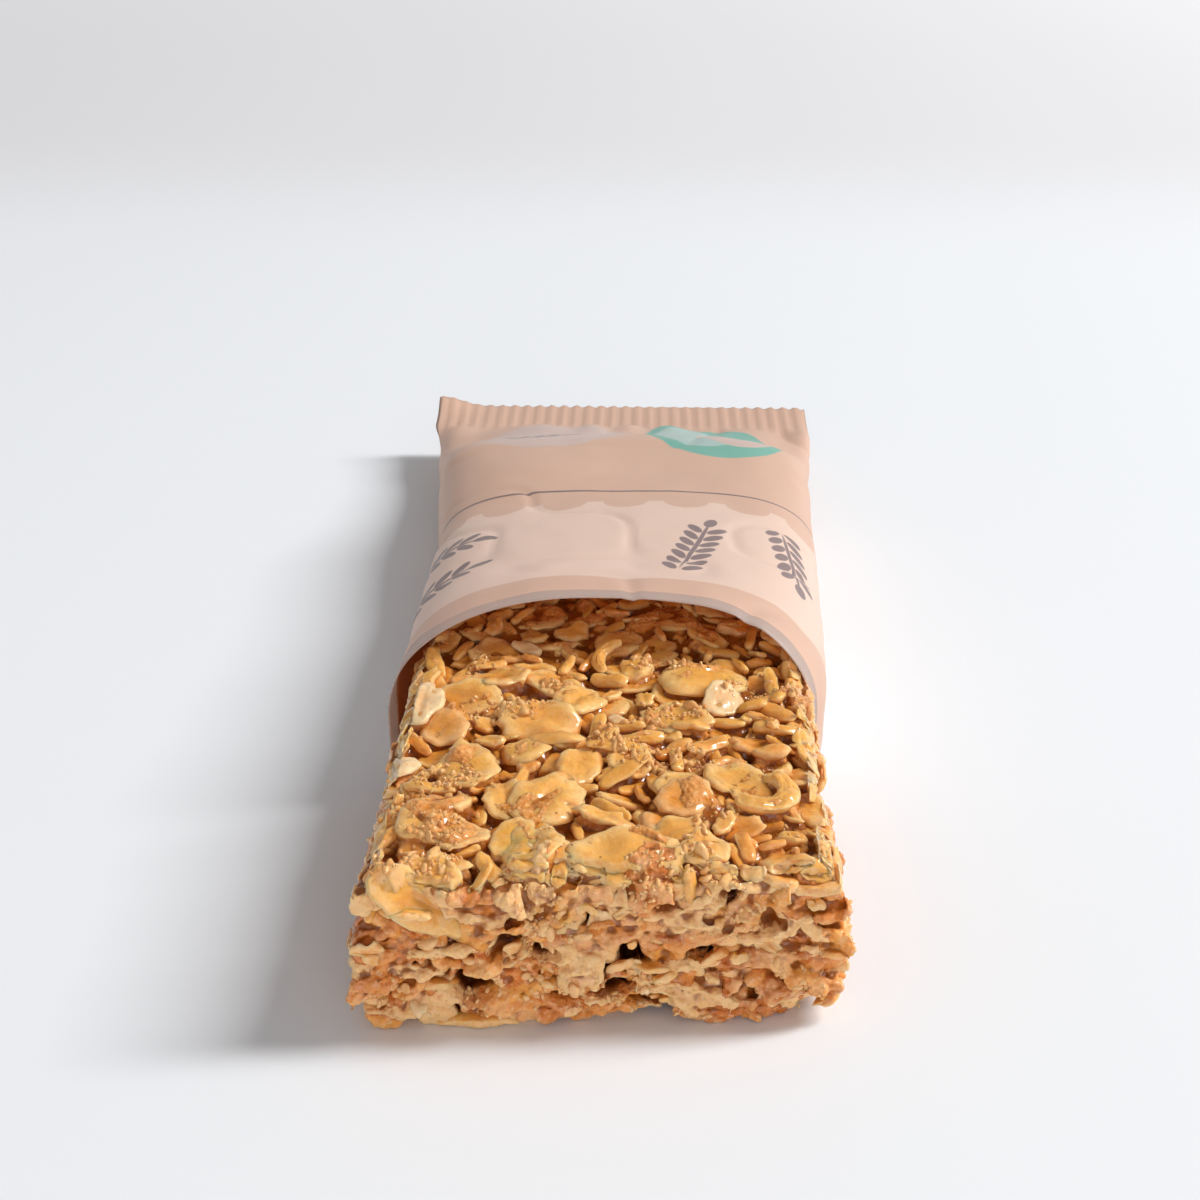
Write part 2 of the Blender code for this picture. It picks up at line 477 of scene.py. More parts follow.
@dataclass(frozen=True)
class CoreFinish:
    """Torn oats and paste, with set syrup that is darker where it lies deep; the darkening in
    hollows and folds is also painted shade, and raised ridges carry a painted highlight.
    """

    name: str = "torn_oats_and_syrup"
    golden: tuple = linear(244, 170, 80)
    rosy: tuple = linear(222, 132, 64)
    brown: tuple = linear(178, 90, 14)
    cream: tuple = linear(255, 200, 140)
    paste: tuple = linear(218, 138, 54)
    crumb: tuple = linear(252, 194, 124)
    amber: tuple = linear(146, 72, 2)
    deep: tuple = linear(72, 28, 0)
    glaze: float = 1.0
    softness: float = 0.7
    dry: float = 0.5
    amber_gloss: float = 0.15
    shine: float = 0.1
    relief: float = 0.28 * MM
    glow_depth: float = 0.4 * MM
    soaked_from: float = 9.0 * MM
    soaked_at: float = 12.5 * MM
    zone_size: float = 3.8 * MM
    broad_size: float = 2.6 * MM
    fine_size: float = 0.45 * MM
    grain_size: float = 0.5 * MM
    wet_size: float = 0.9 * MM

    def material(self) -> bpy.types.Material:
        """Builds the core's material, which reads the oats' tones, the paste and the depth.

        Returns:
            The material.
        """
        kit = NodeKit(self.name)
        names = ("tone", "paste", "hollow_syrup_and_shade", "fold")
        tone, paste, hollow_syrup_and_shade, fold = (kit.attribute(name) for name in names)
        broad = kit.noise(self.broad_size, 3.0, 0.6)
        fine = kit.noise(self.fine_size, 4.0, 0.65)
        grains = kit.cells(self.grain_size).outputs["Distance"]
        stops = [(0.0, self.golden), (0.4, self.rosy), (0.7, self.brown), (0.9, self.cream)]
        zone = kit.noise(self.zone_size, 3.0, 0.6)
        oats = kit.ramp(tone + (broad - 0.5) * 0.4, stops)
        oats = kit.blend(kit.step(zone, 0.5, 0.38) * 0.6, oats, self.cream)
        oats = kit.blend(kit.step(fine, 0.48, 0.72) * 0.6, oats, self.crumb)
        between = kit.blend(kit.step(fine, 0.45, 0.7) * 0.8, self.paste, self.crumb)
        colour = kit.blend(kit.step(paste + (fine - 0.5) * 0.8, 0.2, 0.7), oats, between)
        # Painted highlight: raised ridges are paler.
        ridge_highlight = kit.step(fold + (fine - 0.5) * 0.3, 0.42, 0.1)
        colour = kit.blend(ridge_highlight * 0.25, colour, self.cream)
        height = kit.node("ShaderNodeSeparateXYZ", Vector=kit.place).outputs["Z"]
        soaked = kit.step(height, self.soaked_from, self.soaked_at)
        # Amber comes from random tone and the soak near the top, and from painted shade in the
        # hollows and folds.
        stain_and_shade = broad * 0.45 + zone * 0.55 + hollow_syrup_and_shade * 0.35 + (fold - 0.5) * 0.7 + soaked * 0.14
        amber = kit.step(stain_and_shade, 0.5, 0.72)
        colour = kit.blend(amber * 0.85, colour, self.amber)
        # Painted shade: darkest in the hollows, where syrup also lies deep.
        colour = kit.blend(kit.step(hollow_syrup_and_shade + (fine - 0.5) * 0.4, 0.3, 0.9), colour, self.deep)
        wet = kit.step(kit.noise(self.wet_size, 4.0, 0.6), 0.4, 0.56)
        relief = fine * 0.5 + (1 - kit.step(grains, 0.0, 0.7)) * 0.5 * (1 - amber * 0.7)
        shader = kit.node(
            "ShaderNodeBsdfPrincipled",
            Base_Color=colour,
            Roughness=self.dry - amber * self.amber_gloss,
            Specular_IOR_Level=self.shine,
            Normal=kit.bump(relief, self.relief),
            Coat_Weight=wet * self.glaze * (1 - hollow_syrup_and_shade),
            Coat_Roughness=0.1,
            Subsurface_Weight=self.softness,
            Subsurface_Radius=(1.0, 0.95, 0.9),
            Subsurface_Scale=self.glow_depth,
        )
        return kit.finish(shader.outputs[0])


@dataclass(frozen=True)
class FilmFinish:
    """Satin film, printed with plain fields and shapes, and clear along its mouth.

    The print is laid out on the flat sheet in millimetres: across from the ridge, to the
    right, and along from the mouth.
    """

    name: str = "printed_film"
    printed: bool = True
    girth: float = 119.0
    length: float = 100.4
    kraft: tuple = linear(240, 205, 182)
    shade: tuple = linear(228, 190, 166)
    peach: tuple = linear(255, 228, 210)
    slate: tuple = linear(98, 98, 112)
    mint: tuple = linear(128, 204, 188)
    cyan: tuple = linear(188, 222, 216)
    label: tuple = linear(230, 210, 200)
    clear: tuple = linear(222, 210, 202)
    inner: tuple = linear(240, 202, 170)
    glow: tuple = linear(242, 204, 174)
    border: float = 2.3
    left_border: float = 2.0
    band: tuple[float, float] = (7.0, 36.0)
    satin: float = 0.46
    lip_gloss: float = 0.16
    relief: float = 0.22 * MM
    passed: float = 0.26
    lip_clear: float = 0.4
    edge_soft: float = 0.12
    leaf: tuple[float, float] = (1.45, 0.62)
    tip_leaf: tuple[float, float] = (1.5, 0.75)
    stem: float = 0.28
    leaf_step: float = 2.2
    leaf_turn: float = 38
    scallops: int = 16
    scallop: float = 2.7
    sprigs: tuple = (
        ((-27.0, 16.0), 8, 5),
        ((-25.0, 26.5), -6, 4),
        ((7.0, 12.0), 78, 7),
        ((19.0, 30.0), -82, 6),
    )

    def oval(
        self, kit: NodeKit, at: tuple, middle: tuple, radii: tuple, turn: float = 0.0
    ) -> Value:
        """The inside of an oval.

        Args:
            kit: the material's nodes.
            at: the place's values, across and along.
            middle: the oval's middle.
            radii: its half sizes.
            turn: how far it is turned, in degrees.

        Returns:
            1 inside and 0 outside, with a soft edge.
        """
        c, s = math.cos(math.radians(turn)), math.sin(math.radians(turn))
        dx, dy = at[0] - middle[0], at[1] - middle[1]
        along = (dx * c + dy * s) / radii[0]
        aside = (dy * c - dx * s) / radii[1]
        soft = self.edge_soft / min(radii)
        return kit.step(along * along + aside * aside, 1 + soft, 1 - soft)

    def sprig(self, kit: NodeKit, at: tuple, foot: tuple, turn: float, pairs: int) -> Value:
        """An ear of grain: a row of leaf pairs along a thin stem.

        Args:
            kit: the material's nodes.
            at: the place's values, across and along.
            foot: where the stem starts.
            turn: the stem's direction, in degrees from across.
            pairs: how many pairs of leaves it has.

        Returns:
            1 on the sprig and 0 off it.
        """
        c, s = math.cos(math.radians(turn)), math.sin(math.radians(turn))
        reach = 2.3 * pairs
        tip = (foot[0] + c * reach, foot[1] + s * reach)
        half = ((foot[0] + tip[0]) / 2, (foot[1] + tip[1]) / 2)
        shape = self.oval(kit, at, half, (reach / 2, self.stem), turn)
        shape = kit.math("MAXIMUM", shape, self.oval(kit, at, tip, self.tip_leaf, turn))
        for i, side in product(range(pairs), (-1, 1)):
            out = 0.4 + self.leaf_step * i
            place = (foot[0] + c * out - side * s * 1.3, foot[1] + s * out + side * c * 1.3)
            leaf = self.oval(kit, at, place, self.leaf, turn + side * self.leaf_turn)
            shape = kit.math("MAXIMUM", shape, leaf)
        return shape

    def print_on(self, kit: NodeKit, at: tuple) -> Any:
        """Lays out the print.

        Args:
            kit: the material's nodes.
            at: the place's values, across and along.

        Returns:
            The print's colour there.
        """
        across, along = at
        grain = kit.noise(7.0 * MM, 2.0)
        colour = kit.blend(grain * 0.5, self.kraft, self.shade)
        pitch = self.girth / self.scallops
        cell = kit.math("WRAP", across, pitch / 2, -pitch / 2)
        bite = self.oval(kit, (cell, along), (0.0, self.band[1]), (self.scallop, self.scallop))
        inside = kit.step(along, self.band[0], self.band[0] + 0.2)
        inside = inside * kit.step(along, self.band[1] + 0.1, self.band[1] - 0.1) * (1 - bite)
        colour = kit.blend(inside, colour, self.peach)
        edge = kit.step(along, self.band[1] + 4.0, self.band[1] + 4.1)
        edge = edge * kit.step(along, self.band[1] + 4.6, self.band[1] + 4.5)
        marks = edge
        for foot, turn, pairs in self.sprigs:
            marks = kit.math("MAXIMUM", marks, self.sprig(kit, at, foot, turn, pairs))
        colour = kit.blend(marks * 0.8, colour, self.slate)
        fields = (
            ((12.5, 70.5), (9.5, 15.5), self.mint),
            ((10.5, 70.0), (6.2, 11.0), self.cyan),
            ((15.0, 68.5), (5.2, 9.0), self.label),
            ((-10.5, 70.0), (11.0, 11.5), self.label),
        )
        for middle, radii, ink in fields:
            colour = kit.blend(self.oval(kit, at, middle, radii), colour, ink)
        seeds = self.sprig(kit, at, (-15.5, 66.0), 28, 4)
        return kit.blend(seeds * 0.6, colour, self.slate)

    def material(self) -> bpy.types.Material:
        """Builds the film's material, which reads the flat sheet's own map.

        Returns:
            The material.
        """
        kit = NodeKit(self.name)
        sheet = kit.output("ShaderNodeUVMap", "UV", {"uv_map": "sheet"})
        split = kit.node("ShaderNodeSeparateXYZ", Vector=sheet)
        across = (0.5 - Value(kit, split.outputs["X"])) * self.girth
        along = Value(kit, split.outputs["Y"]) * self.length
        colour = self.print_on(kit, (across, along)) if self.printed else self.inner
        wave = (kit.noise(5.0 * MM, 1.0) - 0.5) * 0.5
        border = self.border + self.left_border * kit.step(across, -16.0, -26.0)
        lip = kit.step(along + wave - border, 0.15, -0.15)
        colour = kit.blend(lip, colour, self.clear)
        crinkle = kit.noise(3.4 * MM, 4.0, 0.55) * 0.7 + kit.noise(0.7 * MM, 2.0) * 0.08
        shader = kit.node(
            "ShaderNodeBsdfPrincipled",
            Base_Color=colour,
            Roughness=self.satin - lip * self.lip_gloss,
            Normal=kit.bump(crinkle, self.relief, 0.5),
            Coat_Weight=0.12,
            Coat_Roughness=0.3,
        )
        through = kit.node("ShaderNodeBsdfTranslucent", Color=self.glow)
        bare = kit.node("ShaderNodeBsdfTransparent")
        film = kit.mixed(self.passed, shader, through)
        return kit.finish(kit.mixed(lip * self.lip_clear, film, bare).outputs[0])


@dataclass(frozen=True)
class TableFinish:
    """The plain pale table top."""

    name: str = "pale_table"
    white: tuple = linear(240, 243, 246)
    shaded_far_white: tuple = linear(232, 232, 234)
    horizon_glow: tuple = linear(160, 158, 160)
    haze_glow: tuple = linear(192, 189, 190)
    near_end: float = 180 * MM
    far_start: float = 330 * MM
    lit_between: tuple[float, float] = (0.25, 1.6)
    haze_between: tuple[float, float] = (1.2, 3.5)
    black: tuple = linear(0, 0, 0)

    def material(self) -> bpy.types.Material:
        """Builds the table's material: a little greyer behind the bar as painted shade, and
        glowing far away as painted light.

        Returns:
            The material.
        """
        kit = NodeKit(self.name)
        split = kit.node("ShaderNodeSeparateXYZ", Vector=kit.place)
        # Painted shade: the table greys off behind the bar.
        far = kit.step(split.outputs["Y"], self.near_end, self.far_start)
        colour = kit.blend(far, self.white, self.shaded_far_white)
        # Painted light: far off, the table glows to meet the sky.
        away = kit.output("ShaderNodeVectorMath", "Value", {"operation": "LENGTH"}, i0=kit.place)
        lit = kit.blend(kit.step(away, *self.lit_between), self.black, self.horizon_glow)
        shader = kit.node(
            "ShaderNodeBsdfPrincipled",
            Base_Color=colour,
            Roughness=0.6,
            Specular_IOR_Level=0.1,
            Emission_Color=kit.blend(kit.step(away, *self.haze_between), lit, self.haze_glow),
            Emission_Strength=1.0,
        )
        return kit.finish(shader.outputs[0])


# --------------------------------------------------------------------------- meshes


def linked(name: str, data: Any) -> bpy.types.Object:
    """Puts an object in the scene.

    Args:
        name: its name.
        data: its mesh, lamp or camera.

    Returns:
        The object.
    """
    made = bpy.data.objects.new(name, data)
    bpy.context.scene.collection.objects.link(made)
    return made


def new_piece(bm: bmesh.types.BMesh, name: str) -> bpy.types.Object:
    """Makes a smooth-shaded object of a bmesh.

    Args:
        bm: the bmesh, which is freed.
        name: the object's name.

    Returns:
        The object.
    """
    mesh = bpy.data.meshes.new(name)
    bm.to_mesh(mesh)
    bm.free()
    mesh.shade_smooth()
    return linked(name, mesh)


def places(mesh: bpy.types.Mesh) -> Array:
    """Reads where a mesh's vertices lie.

    Args:
        mesh: the mesh.

    Returns:
        One row for each vertex.
    """
    flat = np.empty(len(mesh.vertices) * 3, np.float32)
    mesh.vertices.foreach_get("co", flat)
    return flat.reshape(-1, 3).astype(float)


def put(mesh: bpy.types.Mesh, points: Array) -> None:
    """Moves the mesh's vertices to these points."""
    mesh.vertices.foreach_set("co", points.astype(np.float32).ravel())
    mesh.update()


def carry(mesh: bpy.types.Mesh, name: str, values: Array) -> None:
    """Gives the mesh a number for each vertex."""
    layer = mesh.attributes.new(name, "FLOAT", "POINT")
    layer.data.foreach_set("value", np.asarray(values, np.float32))


def dress(piece: bpy.types.Object, slot: str, *materials: bpy.types.Material) -> None:
    """Gives a piece its materials and the body that it rides on.

    Args:
        piece: the piece.
        slot: not used.
        materials: what it is made of, in the order of its faces' slots.
    """
    for material in materials:
        piece.data.materials.append(material)
    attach(piece, "root")


class Ball(Enum):
    """How finely a small piece is made: the subdivisions of the ball it is moulded from."""

    CRUMB = 2
    SMALL = 3
    LARGE = 4
    HERO = 5


def ball_mesh(fineness: Ball) -> bpy.types.Mesh:
    """A ball of radius 1, as the mesh that small pieces are moulded from.

    Args:
        fineness: how finely it is divided.

    Returns:
        The mesh.
    """
    bm = bmesh.new()
    bmesh.ops.create_icosphere(bm, subdivisions=fineness.value, radius=1.0)
    mesh = bpy.data.meshes.new("ball")
    bm.to_mesh(mesh)
    bm.free()
    mesh.shade_smooth()
    return mesh


@dataclass
class Heap:
    """Many small pieces of one kind that end up joined in one mesh."""

    name: str
    fineness: Ball
    points: list[Array] = field(default_factory=list)
    tones: list[float] = field(default_factory=list)
    rims: list[Array] = field(default_factory=list)
    cuts: list[Array] = field(default_factory=list)
    apart: float = 3.0

    def __post_init__(self) -> None:
        """Makes the ball that each piece is moulded from."""
        self.mesh = ball_mesh(self.fineness)
        self.ball = places(self.mesh)

    def add(self, points: Array, tone: float, rim: Array, cut: Array) -> None:
        """Adds a piece.

        Args:
            points: the piece's points, as many as the ball has.
            tone: how brown it is.
            rim: how near its rim each point lies.
            cut: 1 where a point lies on a cut surface.
        """
        self.points.append(points)
        self.tones.append(tone)
        self.rims.append(rim)
        self.cuts.append(cut)

    def build(self) -> bpy.types.Object:
        """Joins as many balls as there are pieces and moves them to the pieces' points.

        Returns:
            The joined pieces, with their tone, rim and cut at every point.
        """
        single = linked("single", self.mesh)
        rows = single.modifiers.new("rows", "ARRAY")
        rows.count = len(self.points)
        rows.use_relative_offset = False
        rows.use_constant_offset = True
        rows.constant_offset_displace = (self.apart, 0, 0)
        graph = bpy.context.evaluated_depsgraph_get()
        joined = bpy.data.meshes.new_from_object(single.evaluated_get(graph))
        bpy.data.objects.remove(single)
        joined.name = self.name
        put(joined, np.concatenate(self.points))
        carry(joined, "tone", np.repeat(self.tones, len(self.ball)))
        carry(joined, "rim", np.concatenate(self.rims))
        carry(joined, "cut", np.concatenate(self.cuts))
        joined.shade_smooth()
        return linked(self.name, joined)


# --------------------------------------------------------------------------- the bar


@dataclass(frozen=True)
class BarShape:
    """The bar's nominal outline, which its pieces are packed into and cut back to."""

    height: float = 16.0 * MM
    half_width: float = 19.7 * MM
    narrowing: float = 0.8 * MM
    left_bulge: float = 1.2 * MM
    right_bulge: float = 1.8 * MM
    widest_low: float = 0.66
    narrow_from: float = 2 * MM
    narrow_over: float = 10 * MM
    pressed_over: float = 8 * MM
    pressed: float = 0.7
    skew: float = 2.2 * MM
    top_round: float = 1.8 * MM
    side_foot: float = 2.6 * MM
    side_tuck: float = 1.7 * MM
    lip_round: float = 2.2 * MM
    lip_back: float = 1.1 * MM
    end_foot: float = 1.4 * MM
    end_tuck: float = 0.9 * MM
    front: float = BAR_BOX[0].y + 0.2 * MM
    rear: float = BAR_BOX[1].y
    mouth: float = FILM_BOX[0].y
    packed_to: float = FILM_BOX[0].y + 20 * MM
    end_depth: float = 6 * MM
    pocket_x: float = 4.0 * MM
    pocket_radius: float = 6.5 * MM
    pocket_height: float = 1.3 * MM
    pocket_top: float = 6 * MM
    corner_tuck: float = 1.9 * MM
    corner_from: float = 14 * MM
    corner_top: float = 3.5 * MM
    corner_back: float = 9 * MM
    corner_over: float = 6 * MM
    patches: SoftNoise = SoftNoise(4.4 * MM, 43)

    def flank(self, side: Array, y: Array, z: Array) -> Array:
        """How far out the bar's side lies.

        Args:
            side: the sign of x, for the left or right side.
            y, z: the places along and up the side.

        Returns:
            The half width there.
        """
        along = smooth((y - self.mouth - self.narrow_from) / self.narrow_over)
        level = np.clip(z / self.height, 0.0, 1.0)
        bulge = np.where(side > 0, self.right_bulge, self.left_bulge)
        covered = smooth((y - self.mouth) / self.pressed_over)
        out = self.half_width - self.narrowing * along
        bulge = bulge * np.sin(math.pi * level**self.widest_low)
        out = out + bulge * (1 - self.pressed * covered)
        over = np.clip((z - self.height + self.top_round) / self.top_round, 0.0, 1.0)
        foot = np.clip(1 - z / self.side_foot, 0.0, 1.0)
        round_top = self.top_round * (1 - np.sqrt(1 - 0.8 * over**2))
        return out - round_top - self.side_tuck * foot**2

    def face(self, x: Array, z: Array) -> Array:
        """Where the cut end lies, with its right side set back.

        Args:
            x, z: the places across and up the end.

        Returns:
            The places along the bar.
        """
        back = self.skew * (0.5 + 0.5 * np.clip(x / self.half_width, -1.0, 1.0))
        over = np.clip((z - self.height + self.lip_round) / self.lip_round, 0.0, 1.0)
        foot = np.clip(1 - z / self.end_foot, 0.0, 1.0)
        return self.front + back + self.lip_back * over**2 + self.end_tuck * foot**2

    def worn(self, points: Array) -> Array:
        """Wears points away at the cut end's foot: a pocket, and a rounder right corner.

        Args:
            points: points of the bar.

        Returns:
            The points, moved.
        """
        x, y, z = points.T
        behind = y - self.front
        away = np.hypot(x - self.pocket_x, behind) / self.pocket_radius
        rise = (1 - smooth(away)) * (1 - smooth(z / self.pocket_top)) * self.pocket_height
        low = (1 - smooth(z / self.corner_top)) * (1 - smooth(behind / self.corner_back))
        aside = smooth((x - self.corner_from) / self.corner_over) * low * self.corner_tuck
        return points + np.stack([-aside, 0.5 * aside, rise], 1)


@dataclass(frozen=True)
class Mould:
    """How a kind of oat piece comes out, in half measures of millimetres."""

    length: tuple[float, float]
    width: tuple[float, float]
    thick: tuple[float, float]
    ragged: float
    cracks: int
    flat: bool = True


class Kind(Enum):
    """The kinds of oat pieces in the bar; widths are shares of the length."""

    ROLLED = Mould((2.6, 3.9), (0.66, 0.9), (0.3, 0.5), 0.05, 3)
    BROKEN = Mould((1.1, 2.5), (0.45, 0.85), (0.34, 0.55), 0.12, 1)
    GRAIN = Mould((1.2, 2.5), (0.27, 0.38), (0.36, 0.56), 0.07, 0, False)
    TORN = Mould((2.2, 4.8), (0.5, 0.85), (0.75, 1.4), 0.12, 0, False)
    CRUMB = Mould((0.16, 0.5), (0.6, 1.0), (0.2, 0.45), 0.16, 0, False)


@dataclass
class Oat:
    """One piece of oat, lying flat about its own middle until it is laid in the bar."""

    kind: Kind
    rng: np.random.Generator
    half_length: float = 0.0
    half_width: float = 0.0
    half_thick: float = 0.0
    curled: float = 0.0
    blunt: float = 3.4
    groove: float = 0.16
    widest_rough: float = 1.6 * MM
    roughness: tuple = ((0.9, 0.11, 31), (0.38, 0.05, 32), (0.2, 0.025, 33))

    def __post_init__(self) -> None:
        """Draws the sizes that were not given, and the piece's rim, cracks and bends."""
        rng, mould = self.rng, self.kind.value
        self.half_length = self.half_length or rng.uniform(*mould.length) * MM
        self.half_width = self.half_width or self.half_length * rng.uniform(*mould.width)
        self.half_thick = self.half_thick or rng.uniform(*mould.thick) * MM
        self.lobes = [
            (k, rng.normal(0, mould.ragged) / k**0.6, rng.uniform(0, math.tau))
            for k in range(2, 13)
        ]
        self.cracks = [
            (rng.uniform(-math.pi, math.pi), rng.uniform(0.06, 0.28), rng.uniform(0.04, 0.12))
            for _ in range(rng.integers(0, mould.cracks + 1))
        ]
        self.crease = rng.uniform(0.1, 0.6) * self.half_thick
        self.bends = rng.normal(0, 1, 3) * (12.0, 20.0, 12.0)
        self.frill = (rng.integers(2, 6), rng.uniform(0, math.tau), rng.uniform(0.0, 0.28) * MM)
        self.offset = rng.uniform(-1, 1, 3)

    def mould(self, ball: Array) -> tuple[Array, Array]:
        """Shapes a ball into the piece.

        Args:
            ball: the points of a ball of radius 1.

        Returns:
            The piece's points about its middle, and how near its rim each one lies.
        """
        x0, y0, z0 = ball.T
        angle = np.arctan2(y0, x0)
        polar = np.arcsin(np.clip(np.hypot(x0, y0), 0, 1)) / (math.pi / 2)
        edge = np.ones(len(ball))
        for count, depth, phase in self.lobes:
            edge += depth * np.sin(count * angle + phase)
        for middle, depth, width in self.cracks:
            apart = (angle - middle + math.pi) % math.tau - math.pi
            edge -= depth * np.exp(-((apart / width) ** 2))
        if self.kind.value.flat:
            x = self.half_length * polar * edge * np.cos(angle)
            y = self.half_width * polar * edge * np.sin(angle)
            z = np.sign(z0) * self.half_thick * np.sqrt(1 - polar**4)
            groove = np.exp(-((y / (self.groove * self.half_width)) ** 2)) * (1 - polar**2)
            z = z - self.crease * groove * (z0 > 0)
            z = z + self.frill[2] * polar**3 * np.sin(self.frill[0] * angle + self.frill[1])
        else:
            cross = np.hypot(y0, z0)
            blunt = (np.abs(x0) ** self.blunt + cross**self.blunt) ** (-1 / self.blunt)
            x = self.half_length * blunt * x0
            y = self.half_width * blunt * y0 * edge
            z = self.half_thick * blunt * z0 * edge
        z = z + self.bends @ np.stack([x * x, y * y, x * y])
        if self.curled:
            far = self.curled + y
            x, y = far * np.sin(x / self.curled), far * np.cos(x / self.curled) - self.curled
        points = np.stack([x, y, z], 1)
        span = min(self.half_length, self.widest_rough)
        for share, depth, stream in self.roughness:
            rough = SoftNoise(share * span, stream).at(points * (1, 1, 3) + self.offset)
            points[:, 2] += depth * rough * span * (0.95 if self.kind.value.flat else 1.5)
        return points, polar


@dataclass(frozen=True)
class Notable:
    """A piece that is recognised by its place: millimetres from the bar's middle, its cut end
    and the table, with half sizes, and its turns in degrees."""

    x: float
    back: float
    length: float
    width: float
    yaw: float
    tone: float
    kind: Kind = Kind.ROLLED
    z: float = 0.0
    pitch: float = 0.0
    roll: float = 0.0
    thick: float = 0.0
    stand: float = 0.1
    crisp: bool = False

    def size(self) -> tuple[float, float, float]:
        """The half length, half width and half thickness in metres; 0 is left to chance."""
        return self.length * MM, self.width * MM, self.thick * MM


TOP_NOTABLES = [
    Notable(-10.9, 34.0, 3.1, 2.6, 0, 0.5),
    Notable(9.6, 34.0, 4.4, 3.1, 12, 0.05),
    Notable(-2.7, 29.5, 3.0, 2.4, 60, 0.35),
    Notable(-18.0, 28.5, 3.6, 2.2, 85, 0.95),
    Notable(11.5, 30.5, 2.6, 1.8, 55, 0.95),
    Notable(-6.5, 26.0, 4.2, 3.2, -5, 0.42, thick=0.7),
    Notable(-12.5, 16.4, 3.3, 3.0, 20, 0.08),
    Notable(-5.0, 11.6, 4.0, 3.2, 50, 0.25),
    Notable(7.4, 12.2, 2.8, 2.4, 20, 0.62, thick=0.6),
    Notable(0.4, 9.4, 2.9, 1.2, -12, 0.3, Kind.BROKEN),
    Notable(-15.0, 8.4, 3.9, 2.6, 62, 0.12),
    Notable(-13.3, 10.6, 2.3, 1.7, -30, 0.5, Kind.BROKEN),
    Notable(8.9, 4.4, 2.7, 2.2, 95, 0.3),
    Notable(2.3, 3.4, 5.0, 3.3, 5, 0.22, thick=0.5),
    Notable(-5.8, 4.2, 3.3, 2.8, 80, 0.05),
    Notable(1.4, 20.5, 3.1, 0.8, 2, 0.1, Kind.GRAIN),
    Notable(-4.8, 21.8, 2.7, 1.0, -8, 0.4, Kind.GRAIN),
    Notable(1.8, 17.0, 2.7, 0.75, 35, 0.1, Kind.GRAIN),
    Notable(8.2, 25.0, 1.9, 0.8, -10, 0.3, Kind.GRAIN),
]
FACE_NOTABLES = [
    Notable(-14.8, 0.2, 5.4, 2.5, 4, 0.06, z=13.3, pitch=30, roll=58, stand=1.3, crisp=True),
    Notable(-1.7, 1.4, 3.8, 2.8, 6, 0.97, z=7.8, pitch=-6, roll=8, thick=0.85, stand=0.7),
    Notable(-5.2, 1.2, 2.0, 1.6, 20, 0.2, Kind.BROKEN, z=10.1, pitch=-20, roll=14, stand=0.9),
    Notable(-17.0, 2.0, 4.2, 3.0, 8, 0.33, z=7.4, pitch=-4, roll=-6, thick=0.7, stand=0.6),
    Notable(-17.6, 2.0, 3.2, 3.0, -8, 0.5, z=10.6, pitch=4, roll=8, thick=0.6, stand=0.3),
    Notable(-11.2, 1.0, 4.9, 2.8, 2, 0.08, z=0.62, pitch=-1, thick=0.7, stand=0.7, crisp=True),
    Notable(5.9, 1.6, 3.3, 2.4, -5, 0.55, z=9.7, pitch=5, roll=12, thick=0.45, stand=0.5),
    Notable(12.9, 1.4, 1.9, 1.6, 0, 0.97, Kind.BROKEN, z=8.9, pitch=-4, roll=4, stand=0.5),
    Notable(11.5, 1.4, 1.9, 1.5, 5, 0.2, Kind.BROKEN, z=2.9, pitch=4, roll=5, stand=0.5),
    Notable(-1.4, 0.9, 2.6, 2.0, 0, 0.97, z=13.6, pitch=-16, roll=58, thick=0.6, stand=0.3),
    Notable(3.9, 0.2, 0.7, 0.6, 0, 0.97, Kind.CRUMB, z=3.1, thick=0.6, stand=0.9, crisp=True),
]
CURLS = [
    (Notable(16.2, 12.0, 4.9, 1.0, -125, 0.3, Kind.GRAIN, thick=0.62), 2.4),
    (Notable(-0.9, 39.0, 3.0, 0.7, 70, 0.4, Kind.GRAIN, thick=0.5), 2.6),
    (Notable(15.8, 26.5, 2.6, 0.7, -60, 0.6, Kind.GRAIN, thick=0.5), 2.4),
]


